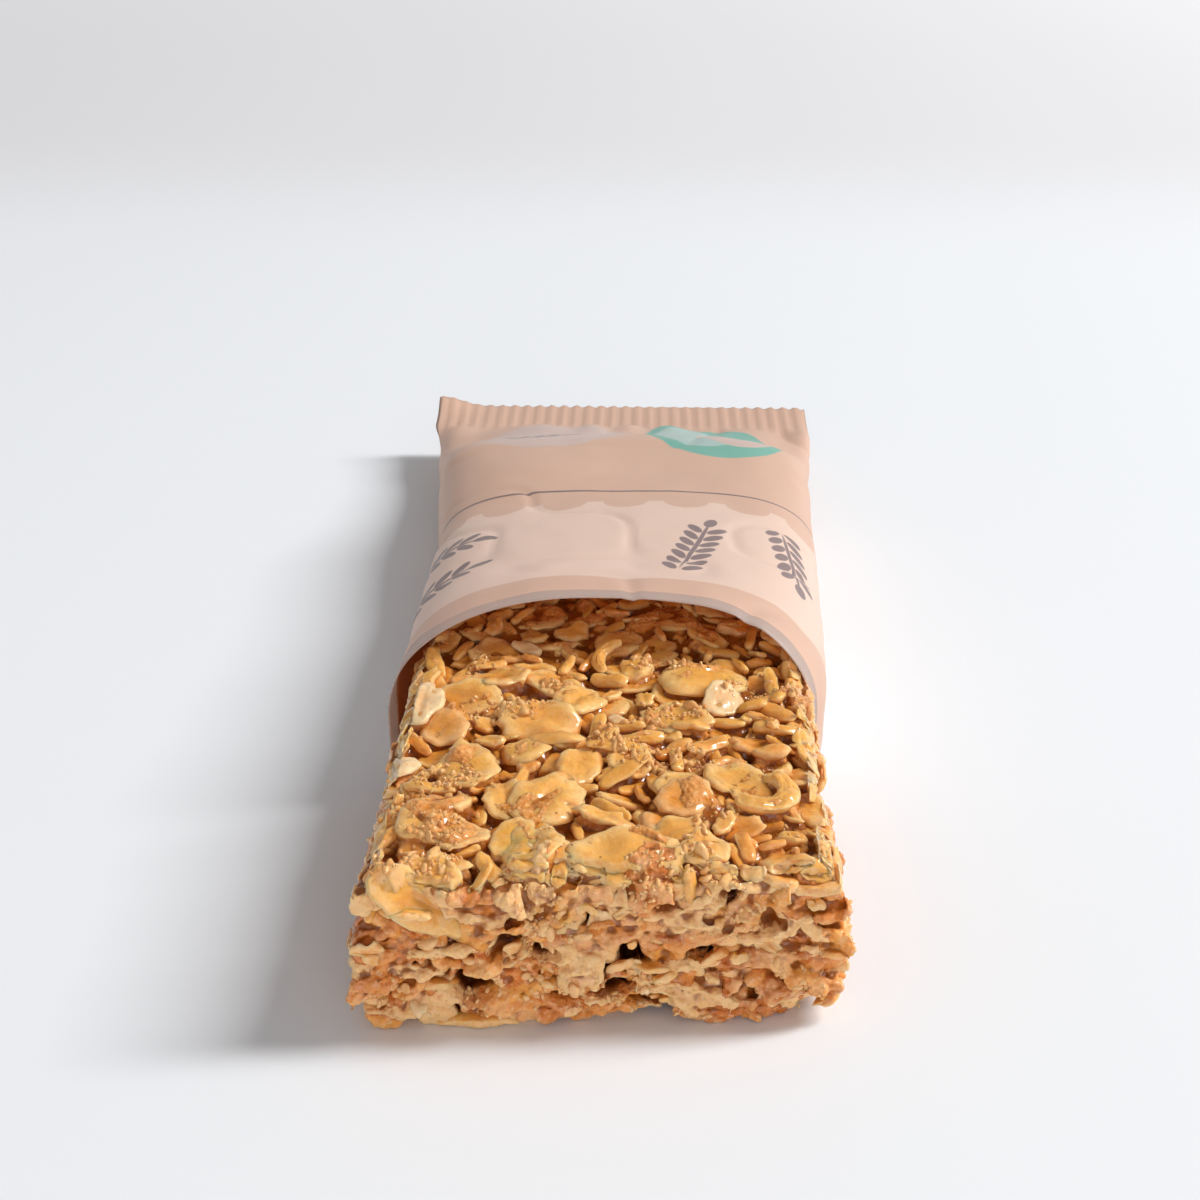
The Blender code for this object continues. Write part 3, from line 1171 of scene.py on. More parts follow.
@dataclass
class Terrain:
    """How high the pieces laid on the bar's top already reach, on a fine grid."""

    shape: BarShape
    start: float
    pitch: float = 0.33 * MM
    half: float = 23.0 * MM
    ahead: float = 1.5 * MM
    extra: float = 4 * MM
    wave: float = 0.5 * MM
    wave_size: float = 4 * MM
    sag: float = 0.04 * MM

    def __post_init__(self) -> None:
        """Starts a slightly wavy ground."""
        shape = self.shape
        self.low = np.array([-self.half, shape.front - self.ahead])
        wide = np.array([2 * self.half, shape.packed_to - shape.front + self.extra])
        self.count = np.ceil(wide / self.pitch).astype(int)
        i, j = np.meshgrid(*[np.arange(n) for n in self.count], indexing="ij")
        flat = np.stack([i.ravel() * self.pitch, j.ravel() * self.pitch, np.zeros(i.size)], 1)
        waves = SoftNoise(self.wave_size, 3).at(flat).reshape(i.shape)
        self.height = self.start + self.wave * waves

    def cell(self, xy: Array) -> tuple[Array, Array]:
        """Finds places on the grid.

        Args:
            xy: the places, one row each.

        Returns:
            The rows and the columns of their cells.
        """
        at = np.round((xy - self.low) / self.pitch).astype(int)
        at = np.clip(at, 0, self.count - 1)
        return at[:, 0], at[:, 1]

    def soft(self, reach: int) -> Array:
        """The ground, blurred.

        Args:
            reach: over how many cells each way.

        Returns:
            A blurred height for each cell.
        """
        padded = np.pad(self.height, reach + 1, mode="edge")
        sums = padded.cumsum(0).cumsum(1)
        wide = 2 * reach + 1
        block = sums[wide:, wide:] - sums[:-wide, wide:]
        block = block - sums[wide:, :-wide] + sums[:-wide, :-wide]
        return block[: self.count[0], : self.count[1]] / wide**2

    def raise_to(self, points: Array) -> None:
        """Lifts the ground to a piece that now lies on it.

        Args:
            points: the piece's points.
        """
        for di, dj in product((-1, 0, 1), repeat=2):
            i, j = self.cell(points[:, :2] + np.array([di, dj]) * self.pitch * 0.7)
            np.maximum.at(self.height, (i, j), points[:, 2] - self.sag)


@dataclass(frozen=True)
class Stage:
    """One go at laying the top: its kinds, how many it tries, how high they may reach, and
    whether the notable flakes come after it."""

    kinds: tuple[Kind, ...]
    tries: int
    ceiling: float
    then_notables: bool = False


STAGES = (
    Stage((Kind.GRAIN,) * 4 + (Kind.BROKEN,) * 5 + (Kind.ROLLED,), 620, 16.0 * MM),
    Stage((Kind.ROLLED, Kind.GRAIN, Kind.BROKEN), 80, 16.6 * MM, True),
    Stage((Kind.GRAIN,) * 4 + (Kind.BROKEN,) * 5, 260, 16.4 * MM),
)


@dataclass(frozen=True)
class Plan:
    """How one kind is packed in the faces: how many at most, from how many tries, how far
    apart as a share of their sizes, and how much they lean."""

    kind: Kind
    heap: Heap
    wanted: int
    tries: int
    room: float
    lean: float


@dataclass
class OatBar:
    """The bar's oats: the laid top, and the pieces that its torn faces show edge-on."""

    shape: BarShape = BarShape()
    seed: int = 11
    ground_height: float = 14.0 * MM
    tallest: float = 17.3 * MM
    lowest: float = 0.03 * MM
    half_top: float = 20 * MM
    steepest: float = 0.45
    drape: float = 0.45
    drape_limit: float = 0.6 * MM
    tear_depth: float = 0.14 * MM
    fray_depth: float = 0.1 * MM
    end_tear: float = 2.6
    overhang: float = 2 * MM
    cut_edge: float = 0.12 * MM
    shell_face: float = 1.9 * MM
    shell_side: float = 1.5 * MM
    shell_foot: float = 0.7 * MM
    flat_below: float = 0.8 * MM
    half_shell: float = 21 * MM
    shell_heights: tuple[float, float] = (0.35 * MM, 14.2 * MM)
    end_share: float = 0.4
    end_zone: float = 5 * MM
    covered: float = 9 * MM
    soft_every: int = 6
    soft_reach: int = 3
    curl_reach: int = 6

    def __post_init__(self) -> None:
        """Starts the heaps of each kind of piece."""
        self.rng = np.random.default_rng(self.seed)
        self.top = Heap("top_flakes", Ball.LARGE)
        self.sides = Heap("edge_flakes", Ball.LARGE)
        self.broken = Heap("broken_oats", Ball.SMALL)
        self.grains = Heap("oat_grains", Ball.SMALL)
        self.curls = Heap("curled_oats", Ball.HERO)
        self.end_lumps = Heap("end_lumps", Ball.LARGE)
        self.end_bits = Heap("end_bits", Ball.SMALL)
        self.side_lumps = Heap("side_lumps", Ball.LARGE)
        self.side_bits = Heap("side_bits", Ball.SMALL)
        self.heaps = {Kind.ROLLED: self.top, Kind.BROKEN: self.broken, Kind.GRAIN: self.grains}
        self.tear = SoftNoise(2.2 * MM, 5)
        self.fray = SoftNoise(0.5 * MM, 6)
        self.taken: list[tuple[Array, float, float]] = []
        self.ground = Terrain(self.shape, self.ground_height)

    def tone(self, creams: float = 0.015) -> float:
        """A random tone: mostly golden to tan, and cream for that share of the pieces."""
        return 0.95 if self.rng.uniform() < creams else self.rng.beta(1.2, 1.9) * 0.8

    def trim(
        self, points: Array, stand: float, fold: float = 0.0, spare: float = 0.0
    ) -> tuple[Array, Array]:
        """Presses a piece back to the bar's sides, its cut end and its underside.

        Args:
            points: the piece's points in place.
            stand: how far it may stand out of the nominal outline.
            fold: how much of what is past an edge hangs down over it, from 0 to 1.
            spare: the share of what is past the outline that is left standing out.

        Returns:
            The points, and 1 where they were pressed back to the cut end or a side.
        """
        shape = self.shape
        x, y, z = points.T.copy()
        own = points + self.rng.uniform(-1, 1, 3)
        rough = self.tear_depth * self.tear.at(own) + self.fray_depth * self.fray.at(own)
        face = shape.face(x, z) - stand - rough * self.end_tear
        behind = face - y
        side = np.where(x >= 0, 1.0, -1.0)
        reach = shape.flank(side, y, z) + 0.4 * stand + rough
        past = np.abs(x) - reach
        over = np.maximum(np.maximum(behind, past), 0.0)
        thin = 1 - 0.35 * fold
        left = fold * 0.12 - spare
        y = np.where(behind > 0, face + np.minimum(behind, self.overhang) * left, y)
        hung = reach - np.minimum(past, self.overhang) * left
        x = side * np.where(past > 0, hung, np.abs(x))
        z = z - over * fold * 0.85 * thin
        z = np.maximum(z, self.lowest)
        cut = smooth(np.maximum(behind, past) / self.cut_edge + 0.5) * (1 - fold)
        return np.stack([x, y, z], 1), cut

    def settle(
        self, oat: Oat, heap: Heap, soft: Array, ceiling: float, spot: Notable | None = None
    ) -> None:
        """Lays one piece on the top, where the ground is low or at a given spot.

        Args:
            oat: the piece.
            heap: where the piece goes.
            soft: the ground blurred, to choose a low place and to drape over.
            ceiling: the greatest height that it may reach, or else it is left out.
            spot: the notable piece that this is, if it is one.
        """
        rng, shape, ground = self.rng, self.shape, self.ground
        if spot:
            middle = np.array([spot.x * MM, shape.front + spot.back * MM])
            yaw, tone = math.radians(spot.yaw), spot.tone
        else:
            across = rng.uniform(-self.half_top, self.half_top, 5)
            level = across * 0 + self.ground_height
            nearest = shape.face(across, level) + 0.15 * oat.half_length
            along = rng.uniform(nearest, shape.packed_to)
            tries = np.stack([across, along], 1)
            middle = tries[np.argmin(soft[ground.cell(tries)])]
            yaw, tone = rng.uniform(0, math.tau), self.tone()
        local, rim = oat.mould(heap.ball)
        if not spot and rng.uniform() < 0.5:
            local[:, 2] *= -1
            local[:, 0] *= -1
        tilt = 0.1 if oat.kind is Kind.ROLLED else 0.2
        local = local @ turned(yaw, rng.normal(0, tilt), rng.normal(0, tilt)).T
        xy = local[:, :2] + middle
        under = ground.height[ground.cell(xy)]
        spread = np.column_stack([np.ones(len(xy)), local[:, :2]])
        fit = np.linalg.lstsq(spread, under, rcond=None)[0]
        slope = np.clip(fit[1:] * 0.9, -self.steepest, self.steepest)
        sag = np.clip(soft[ground.cell(xy)] - spread @ fit, -self.drape_limit, self.drape_limit)
        z = local[:, 2] + local[:, :2] @ slope + self.drape * sag
        lift = np.percentile(under - z, 92 if oat.curled else 84)
        lift = min(lift, self.tallest - z.max())
        points = np.column_stack([xy, z + lift])
        if not spot and np.percentile(points[:, 2], 90) > ceiling:
            return
        fold = rng.uniform(0.5, 1.0) if rng.uniform() < 0.75 else 0.0
        points, cut = self.trim(points, rng.normal(0.0, 0.3) * MM, fold)
        heap.add(points, tone, rim, cut)
        ground.raise_to(points)

    def lay_top(self) -> None:
        """Lays the top in goes: a mixed bed, the notable flakes, and what fell last."""
        for stage in STAGES:
            for i in range(stage.tries):
                if i % self.soft_every == 0:
                    soft = self.ground.soft(self.soft_reach)
                kind = stage.kinds[self.rng.integers(len(stage.kinds))]
                self.settle(Oat(kind, self.rng), self.heaps[kind], soft, stage.ceiling)
            if stage.then_notables:
                self.lay_notables()
        LOG.info("top: %s pieces", [len(heap.points) for heap in self.heaps.values()])

    def lay_notables(self) -> None:
        """Lays the flakes and curls that are recognised by their places."""
        for spot in TOP_NOTABLES:
            oat = Oat(spot.kind, self.rng, *spot.size())
            soft = self.ground.soft(self.soft_reach)
            self.settle(oat, self.heaps[spot.kind], soft, self.tallest, spot)
        for spot, radius in CURLS:
            oat = Oat(spot.kind, self.rng, *spot.size(), radius * MM)
            self.settle(oat, self.curls, self.ground.soft(self.curl_reach), self.tallest, spot)

    def in_shell(self, count: int) -> Array:
        """Random places just under the cut end, the sides and the underside.

        Args:
            count: how many are drawn, before those elsewhere are left out.

        Returns:
            The places, one row each.
        """
        rng, shape = self.rng, self.shape
        x = rng.uniform(-self.half_shell, self.half_shell, count)
        at_end = rng.uniform(size=count) < self.end_share
        end = np.where(at_end, shape.front + self.end_zone, shape.mouth + self.covered)
        y = rng.uniform(shape.front - 0.5 * MM, end)
        z = rng.uniform(*self.shell_heights, count)
        from_face = y - shape.face(x, z)
        from_side = shape.flank(np.where(x > 0, 1.0, -1.0), y, z) - np.abs(x)
        near = (from_face < self.shell_face) | (from_side < self.shell_side)
        near = near | (z < self.shell_foot)
        inside = (from_face > -0.4 * MM) & (from_side > -0.3 * MM)
        return np.stack([x, y, z], 1)[near & inside]

    def pack_notables(self) -> None:
        """Packs the pieces of the cut end that are recognised by their places."""
        for spot in FACE_NOTABLES:
            heap = self.sides if spot.crisp else self.end_lumps
            oat = Oat(spot.kind, self.rng, *spot.size())
            front = self.shape.face(np.array(spot.x * MM), np.array(spot.z * MM))
            middle = np.array([spot.x * MM, front + spot.back * MM, spot.z * MM])
            turns = [math.radians(a) for a in (spot.yaw, spot.pitch, spot.roll)]
            local, rim = oat.mould(heap.ball)
            placed = local @ turned(*turns).T + middle
            points, cut = self.trim(placed, spot.stand * MM, spare=0.15)
            heap.add(points, spot.tone, rim, cut)
            self.taken.append((middle, oat.half_width, oat.half_thick))

    def room_at(self, middle: Array, oat: Oat) -> float:
        """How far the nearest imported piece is, as a share of its size and the oat's.

        Args:
            middle: where the oat would go.
            oat: the piece to be packed.

        Returns:
            The distance; 1 is about as close as they come without overlap.
        """
        gap = np.array([spot for spot, _, _ in self.taken]) - middle
        wide = np.array([width for _, width, _ in self.taken]) + oat.half_width
        tall = np.array([thick for _, _, thick in self.taken]) + oat.half_thick
        near = (gap[:, 0] ** 2 + gap[:, 1] ** 2) / wide**2 + (gap[:, 2] / tall) ** 2
        return math.sqrt(near.min())

    def pack(self, oat: Oat, middle: Array, plan: Plan) -> None:
        """Packs one piece edge-on in a face, or flat in the underside.

        Args:
            oat: the piece.
            middle: where its middle goes.
            plan: how its kind is packed.
        """
        rng, heap = self.rng, plan.heap
        flat = middle[2] < self.flat_below
        tilt = 0.04 if flat else plan.lean
        local, rim = oat.mould(heap.ball)
        if flat:
            middle = np.array([middle[0], middle[1], -local[:, 2].min() - 0.1 * MM])
        turn = turned(rng.uniform(0, math.tau), rng.normal(0, tilt), rng.normal(0, tilt))
        stand = rng.normal(0.05, 0.5) * MM
        points, cut = self.trim(local @ turn.T + middle, stand, spare=0.25)
        at_end = {self.side_lumps.name: self.end_lumps, self.side_bits.name: self.end_bits}
        end = middle[1] < self.shape.front + self.shape.end_depth
        home = at_end.get(heap.name, heap) if end else heap
        home.add(points, self.tone(0.3 if home is not heap else 0.05), rim, cut)
        self.taken.append((middle, oat.half_width, oat.half_thick))

    def pack_sides(self) -> None:
        """Packs pieces edge-on into the faces, notable ones first, with little overlap."""
        self.pack_notables()
        plans = [
            Plan(Kind.TORN, self.side_lumps, 90, 9000, 0.75, 0.35),
            Plan(Kind.ROLLED, self.side_lumps, 50, 9000, 0.7, 0.35),
            Plan(Kind.ROLLED, self.sides, 26, 9000, 0.65, 0.3),
            Plan(Kind.BROKEN, self.side_bits, 150, 14000, 0.6, 0.6),
            Plan(Kind.GRAIN, self.side_bits, 60, 14000, 0.6, 0.45),
            Plan(Kind.BROKEN, self.broken, 60, 12000, 0.55, 0.5),
            Plan(Kind.GRAIN, self.grains, 40, 12000, 0.55, 0.6),
        ]
        for plan in plans:
            laid = 0
            for middle in self.in_shell(plan.tries * 3):
                if laid >= plan.wanted:
                    break
                oat = Oat(plan.kind, self.rng)
                if self.room_at(middle, oat) >= plan.room:
                    self.pack(oat, middle, plan)
                    laid += 1
            LOG.info("faces: packed %d %s", laid, plan.kind.name)

    def syrup_and_shade_depth(self, points: Array) -> Array:
        """How deep points lie under the surface round them, which the oats' material paints
        browner as pooled syrup and painted shade.

        Args:
            points: points of the loose pieces.

        Returns:
            The depths, as shares of a millimetre.
        """
        x, y, z = points.T
        side = np.where(x >= 0, 1.0, -1.0)
        inward = np.minimum(y - self.shape.face(x, z), self.shape.flank(side, y, z) - np.abs(x))
        below = self.ground.soft(5)[self.ground.cell(points[:, :2])] - z
        return np.clip(np.minimum(np.minimum(below, inward), z) / MM, 0, 1)

    def build(self) -> tuple[Pieces, Pieces, Pieces]:
        """Packs the bar.

        Returns:
            Its loose pieces, the lumps for the torn end, and the lumps for the rest of the core.
        """
        self.pack_sides()
        self.lay_top()
        finish = OatFinish().material()
        heaps = (self.top, self.sides, self.broken, self.grains, self.curls)
        pieces = [heap.build() for heap in heaps]
        for piece in pieces:
            points = places(piece.data)
            carry(piece.data, "syrup_and_shade_depth", self.syrup_and_shade_depth(points))
            put(piece.data, self.shape.worn(points))
            dress(piece, "oats", finish)
        end = [self.end_lumps.build(), self.end_bits.build()]
        return pieces, end, [self.side_lumps.build(), self.side_bits.build()]


def tree_of(pieces: Pieces) -> BVHTree:
    """A search tree over the triangles of some pieces.

    Args:
        pieces: the pieces.

    Returns:
        The tree.
    """
    corners, faces, base = [], [], 0
    for piece in pieces:
        mesh = piece.data
        mesh.calc_loop_triangles()
        flat = np.empty(len(mesh.loop_triangles) * 3, np.int32)
        mesh.loop_triangles.foreach_get("vertices", flat)
        corners.append(places(mesh))
        faces.append(flat.reshape(-1, 3) + base)
        base += len(mesh.vertices)
    return BVHTree.FromPolygons(np.concatenate(corners).tolist(), np.concatenate(faces).tolist())


@dataclass(frozen=True)
class Void:
    """A dark gap torn in the cut end: its place across and up, and its half sizes, in mm."""

    x: float
    z: float
    across: float
    tall: float
    depth: float = 2.6


VOIDS = [
    Void(-7.7, 9.1, 1.25, 1.3),
    Void(-10.7, 4.5, 1.5, 1.2),
    Void(2.7, 6.9, 0.9, 1.7),
    Void(-16.0, 12.4, 2.2, 1.0, 1.8),
    Void(5.6, 12.4, 0.9, 0.8, 1.8),
    Void(8.6, 7.6, 1.0, 0.6),
    Void(-4.6, 7.6, 1.1, 0.6, 2.2),
    Void(1.3, 3.6, 1.5, 0.8, 2.2),
    Void(4.4, 1.8, 1.9, 0.9, 2.4),
    Void(11.2, 13.6, 0.8, 0.7, 2.0),
    Void(-3.0, 3.4, 1.3, 0.6, 2.0),
    Void(14.4, 10.8, 0.7, 1.1, 1.2),
]


@dataclass(frozen=True)
class Core:
    """The bar's body: torn oats and paste in one mass, with syrup drawn up round the top oats."""

    shape: BarShape = BarShape()
    end_voxel: float = 0.215 * MM
    voxel: float = 0.3 * MM
    inset: float = 1.0 * MM
    face_inset: float = 2.0 * MM
    lip_inset: float = 0.9 * MM
    top: float = 13.6 * MM
    shallow: float = 1.35 * MM
    deepest: float = 2.4 * MM
    foot: float = 0.4 * MM
    upper_from: float = 11.0 * MM
    upper_over: float = 2.0 * MM
    ragged: float = 0.7 * MM
    span: float = 40 * MM
    level_from: float = 12.6 * MM
    hollow_from: float = 0.6 * MM
    hollow_over: float = 1.2 * MM
    rim_from: float = 0.5 * MM
    rim_over: float = 2.5 * MM
    rim_depth: float = 1.1
    lowest: float = 0.05 * MM
    fold_depth: float = 0.8 * MM
    hidden_lowest: float = 0.2 * MM
    heaped: float = 0.55 * MM
    above: float = 3 * MM
    layer: float = 2.1
    ledge: float = 0.4
    gap_from: float = 1.0 * MM
    gap_over: float = 2.5 * MM
    lump_reach: float = 1.2 * MM
    paste_from: float = 0.1 * MM
    paste_over: float = 0.25 * MM

    def block(self, front: float, rear: float, cells: int) -> bpy.types.Mesh:
        """A plain block inside the bar's outline.

        Args:
            front, rear: where it starts and ends along the bar; the cut end if before it.
            cells: how many cells each side is cut in.

        Returns:
            Its mesh.
        """
        shape = self.shape
        bm = bmesh.new()
        bmesh.ops.create_cube(bm, size=1.0)
        bmesh.ops.subdivide_edges(bm, edges=bm.edges[:], cuts=cells - 1, use_grid_fill=True)
        mesh = bpy.data.meshes.new("block")
        bm.to_mesh(mesh)
        bm.free()
        u, v, w = (places(mesh) + 0.5).T
        z = self.foot + w * (self.top - self.foot)
        side = np.sign(u - 0.5)
        upper = smooth((z - self.upper_from) / self.upper_over)
        along = np.stack([u * self.span, z, z * 0], 1)
        ragged = self.ragged * SoftNoise(3.0 * MM, 22).at(along)
        behind = self.face_inset + (self.lip_inset - self.face_inset + ragged) * upper
        start = np.maximum(shape.face((u - 0.5) * self.span, z) + behind, front)
        y = start + v * (rear - start)
        x = (2 * u - 1) * (shape.flank(side, y, z) - self.inset)
        put(mesh, np.stack([x, y, z], 1))
        return mesh

    def fused(
        self, name: str, block: bpy.types.Mesh, voxel: float, lumps: Pieces
    ) -> bpy.types.Object:
        """Melts a block and the lumps at its faces into one closed surface.

        Args:
            name: the piece's name.
            block: the block that the lumps sit in.
            voxel: the size of the melted surface's cells.
            lumps: the torn oats.

        Returns:
            The melted piece.
        """
        bm = bmesh.new()
        for mesh in (block, *(lump.data for lump in lumps)):
            bm.from_mesh(mesh)
        piece = new_piece(bm, name)
        melt = piece.modifiers.new("melt", "REMESH")
        melt.mode = "VOXEL"
        melt.voxel_size = voxel
        graph = bpy.context.evaluated_depsgraph_get()
        mesh = bpy.data.meshes.new_from_object(piece.evaluated_get(graph))
        piece.modifiers.clear()
        piece.data = mesh
        bm = bmesh.new()
        bm.from_mesh(mesh)
        self.drop_inner(bm)
        bm.to_mesh(mesh)
        bm.free()
        mesh.shade_smooth()
        return piece

    @staticmethod
    def drop_inner(bm: bmesh.types.BMesh) -> None:
        """Deletes every shell but the largest one, such as the walls of closed-in bubbles.

        Args:
            bm: the bmesh to clear.
        """
        left, largest = set(bm.verts), []
        while left:
            edge = [left.pop()]
            shell = list(edge)
            while edge:
                near = [e.other_vert(v) for v in edge for e in v.link_edges]
                edge = list({v for v in near if v in left})
                left.difference_update(edge)
                shell.extend(edge)
            if len(shell) > len(largest):
                largest = shell
        kept = set(largest)
        bmesh.ops.delete(bm, geom=[v for v in bm.verts if v not in kept], context="VERTS")

    def torn_end(self, lumps: Pieces, oats: Pieces) -> bpy.types.Object:
        """The finely torn cut end of the bar.

        Args:
            lumps: the torn oats that are melted into it, which are used up.
            oats: the oats that lie on it.

        Returns:
            The piece.
        """
        front = self.shape.front
        block = self.block(front, front + self.shape.end_depth + MM, 24)
        return self.finished(self.fused("torn_end", block, self.end_voxel, lumps), lumps, oats)

    def middle(self, lumps: Pieces, oats: Pieces) -> bpy.types.Object:
        """The core between the torn end and the part that the wrapper hides.

        Args:
            lumps: the torn oats that are melted into it, which are used up.
            oats: the oats that lie on it.

        Returns:
            The piece.
        """
        shape = self.shape
        block = self.block(shape.front + shape.end_depth - MM, shape.packed_to, 32)
        return self.finished(self.fused("syrup_core", block, self.voxel, lumps), lumps, oats)

    def finished(self, piece: bpy.types.Object, lumps: Pieces, oats: Pieces) -> bpy.types.Object:
        """Gives a melted piece its torn relief and draws its top up round the oats.

        Args:
            piece: the melted piece.
            lumps: the torn oats that it was melted from, which are used up.
            oats: the oats that lie on it.

        Returns:
            The piece, with its tone, its share of paste and its depth at every point.
        """
        shape, mesh = self.shape, piece.data
        points = places(mesh)
        flat = np.empty(len(points) * 3, np.float32)
        mesh.vertex_normals.foreach_get("vector", flat)
        normals = flat.reshape(-1, 3).astype(float)
        tone, paste = self.tones(lumps, points)
        level = smooth((normals[:, 2] - 0.3) / 0.4)
        level = level * smooth((points[:, 2] - self.level_from) / MM)
        grit = 0.27 * SoftNoise(0.62 * MM, 12).at(points)
        grit = grit + 0.24 * SoftNoise(1.5 * MM, 13).at(points)
        relief = grit + self.ledges(points) * (1 - level)
        points = self.torn(points + normals * (relief * MM)[:, None])
        x, y, z = points.T
        side = np.where(x >= 0, 1.0, -1.0)
        inward = np.minimum(y - shape.face(x, z), shape.flank(side, y, z) - np.abs(x))
        # How far in from the faces and under the top oats a point lies: the material darkens it
        # as syrup and painted shade.
        hollow_syrup_and_shade = np.clip((inward - self.hollow_from) / self.hollow_over, 0, 1) * (1 - level)
        depth = self.depth_under(tree_of(oats), points, level)
        edge = 1 - smooth((inward - self.rim_from) / self.rim_over)
        depth = np.minimum(depth, (2.4 - self.rim_depth * edge) * MM)
        calm = self.averaged(mesh, depth[:, None], 2, spread=True)[:, 0]
        grit = grit * 0.5 + 0.16 * SoftNoise(0.8 * MM, 14).at(points)
        sink = (0.1 + 0.16 * SoftNoise(3.0 * MM, 9).at(points) + grit) * MM
        points[:, 2] = z + (shape.height - calm - sink - z) * level
        hollow_syrup_and_shade = np.maximum(hollow_syrup_and_shade, np.clip((calm - 0.6 * MM) / (1.5 * MM), 0, 1) * level)
        points[:, 2] = np.maximum(points[:, 2], self.lowest)
        points = shape.worn(points)
        put(mesh, points)
        mesh.vertex_normals.foreach_get("vector", flat)
        # How far a point lies in from its smoothed surface: the material paints the folds amber
        # as shade and the ridges cream as highlight.
        out = ((points - self.averaged(mesh, points, 40)) * flat.reshape(-1, 3)).sum(1)
        fold = np.clip(0.5 - out / self.fold_depth, 0, 1)
        for name, values in zip(("tone", "paste", "hollow_syrup_and_shade", "fold"), (tone, paste, hollow_syrup_and_shade, fold)):
            carry(mesh, name, values)
        for lump in lumps:
            bpy.data.objects.remove(lump)
        return piece

    def ledges(self, points: Array) -> Array:
        """Tears layers: uneven ledges, one above another.

        Args:
            points: the core's points.

        Returns:
            How far each point stands out, in millimetres.
        """
        bent = 0.9 * SoftNoise(5.0 * MM, 15).at(points) + 0.3 * SoftNoise(1.1 * MM, 16).at(points)
        step = (points[:, 2] / MM + bent) / self.layer % 1.0
        profile = smooth(step / 0.22) * (1 - 0.6 * step)
        strong = smooth(0.6 + SoftNoise(3.6 * MM, 18).at(points * (1, 1, 2)) * 1.2)
        return (profile - 0.5) * self.ledge * strong

    def torn(self, points: Array) -> Array:
        """Tears the dark gaps into the cut end, with ragged outlines.

        Args:
            points: the core's points.

        Returns:
            The points, moved.
        """
        points = points.copy()
        ragged = 0.35 * SoftNoise(0.9 * MM, 17).at(points)
        behind = points[:, 1] - self.shape.face(points[:, 0], points[:, 2])
        near = 1 - smooth((behind - self.gap_from) / self.gap_over)
        push = np.zeros(len(points))
        for void in VOIDS:
            across = (points[:, 0] / MM - void.x) / void.across
            tall = (points[:, 2] / MM - void.z) / void.tall
            inside = smooth(1.5 - np.hypot(across, tall) + ragged)
            push = np.maximum(push, inside * void.depth * MM)
        points[:, 1] += push * near
        return points

    def tones(self, lumps: Pieces, points: Array) -> tuple[Array, Array]:
        """The tone of the lump nearest each point, and 1 where only paste is near.

        Args:
            lumps: the lumps melted into the core.
            points: the core's points.

        Returns:
            The tones and the shares of paste.
        """
        tree, own = tree_of(lumps), []
        for lump in lumps:
            mesh = lump.data
            values = np.empty(len(mesh.vertices), np.float32)
            mesh.attributes["tone"].data.foreach_get("value", values)
            first = np.empty(len(mesh.loop_triangles) * 3, np.int32)
            mesh.loop_triangles.foreach_get("vertices", first)
            own.append(values[first[::3]])
        own = np.concatenate(own)
        tone, far = np.zeros(len(points)), np.ones(len(points))
        for i, point in enumerate(points.tolist()):
            _, _, triangle, distance = tree.find_nearest(point, self.lump_reach)
            if triangle is not None:
                tone[i], far[i] = own[triangle], distance
        return tone, smooth((far - self.paste_from) / self.paste_over)

    def depth_under(self, tree: BVHTree, points: Array, level: Array) -> Array:
        """How far below the bar's top the first oat lies over each level point.

        Args:
            tree: the oats on the top.
            points: the core's points.
            level: 1 where the core faces up.

        Returns:
            The depths, which between the oats are those of the syrup.
        """
        hole = smooth(SoftNoise(2.0 * MM, 23).at(points) * 2.4 - 0.8)
        filled = self.shallow + (self.deepest - self.shallow) * hole
        start = self.shape.height + self.above
        heaped = self.heaped * smooth((self.shape.patches.at(points) - 0.1) * 3)
        for i in np.nonzero(level > 0)[0]:
            origin = Vector((points[i, 0], points[i, 1], start))
            _, _, _, far = tree.ray_cast(origin, Vector((0, 0, -1)), self.above + self.deepest)
            if far is not None:
                filled[i] = min(far - self.above, filled[i])
        return filled - heaped

    @staticmethod
    def averaged(mesh: bpy.types.Mesh, rows: Array, rounds: int, spread: bool = False) -> Array:
        """Averages neighbouring vertices' values.

        Args:
            mesh: the mesh whose edges join the neighbours.
            rows: the values, one row a vertex.
            rounds: how many times to average.
            spread: whether the greatest values first spread by one step.

        Returns:
            The averaged rows.
        """
        ends = np.empty(len(mesh.edges) * 2, np.int32)
        mesh.edges.foreach_get("vertices", ends)
        a, b = ends.reshape(-1, 2).T
        size = len(rows)
        count = np.bincount(ends, minlength=size).astype(float)
        columns = []
        for values in rows.T:
            if spread:
                wide = values.copy()
                np.maximum.at(wide, a, values[b])
                np.maximum.at(wide, b, values[a])
                values = wide
            for _ in range(rounds):
                around = np.bincount(a, values[b], size) + np.bincount(b, values[a], size)
                values = 0.4 * values + 0.6 * around / count
            columns.append(values)
        return np.stack(columns, 1)

    def hidden_end(self) -> bpy.types.Object:
        """The part of the bar that lies deep in the wrapper, as a plain lumpy block.

        Returns:
            The piece.
        """
        shape = self.shape
        mesh = self.block(shape.packed_to - 2 * MM, shape.rear, 16)
        points = places(mesh)
        lumps = SoftNoise(3.5 * MM, 21).at(points)
        middle = points.mean(0)
        out = smooth(np.abs(points - middle) / np.abs(points - middle).max(0) * 4 - 3)
        points += np.sign(points - middle) * out * ((0.5 + 0.4 * lumps) * MM)[:, None]
        points[:, 2] = np.maximum(points[:, 2], self.hidden_lowest)
        put(mesh, points)
        for name, value in (("tone", 0.3), ("paste", 0.6), ("hollow_syrup_and_shade", 0.2), ("fold", 0.5)):
            carry(mesh, name, np.full(len(points), value))
        mesh.shade_smooth()
        return linked("wrapped_end", mesh)


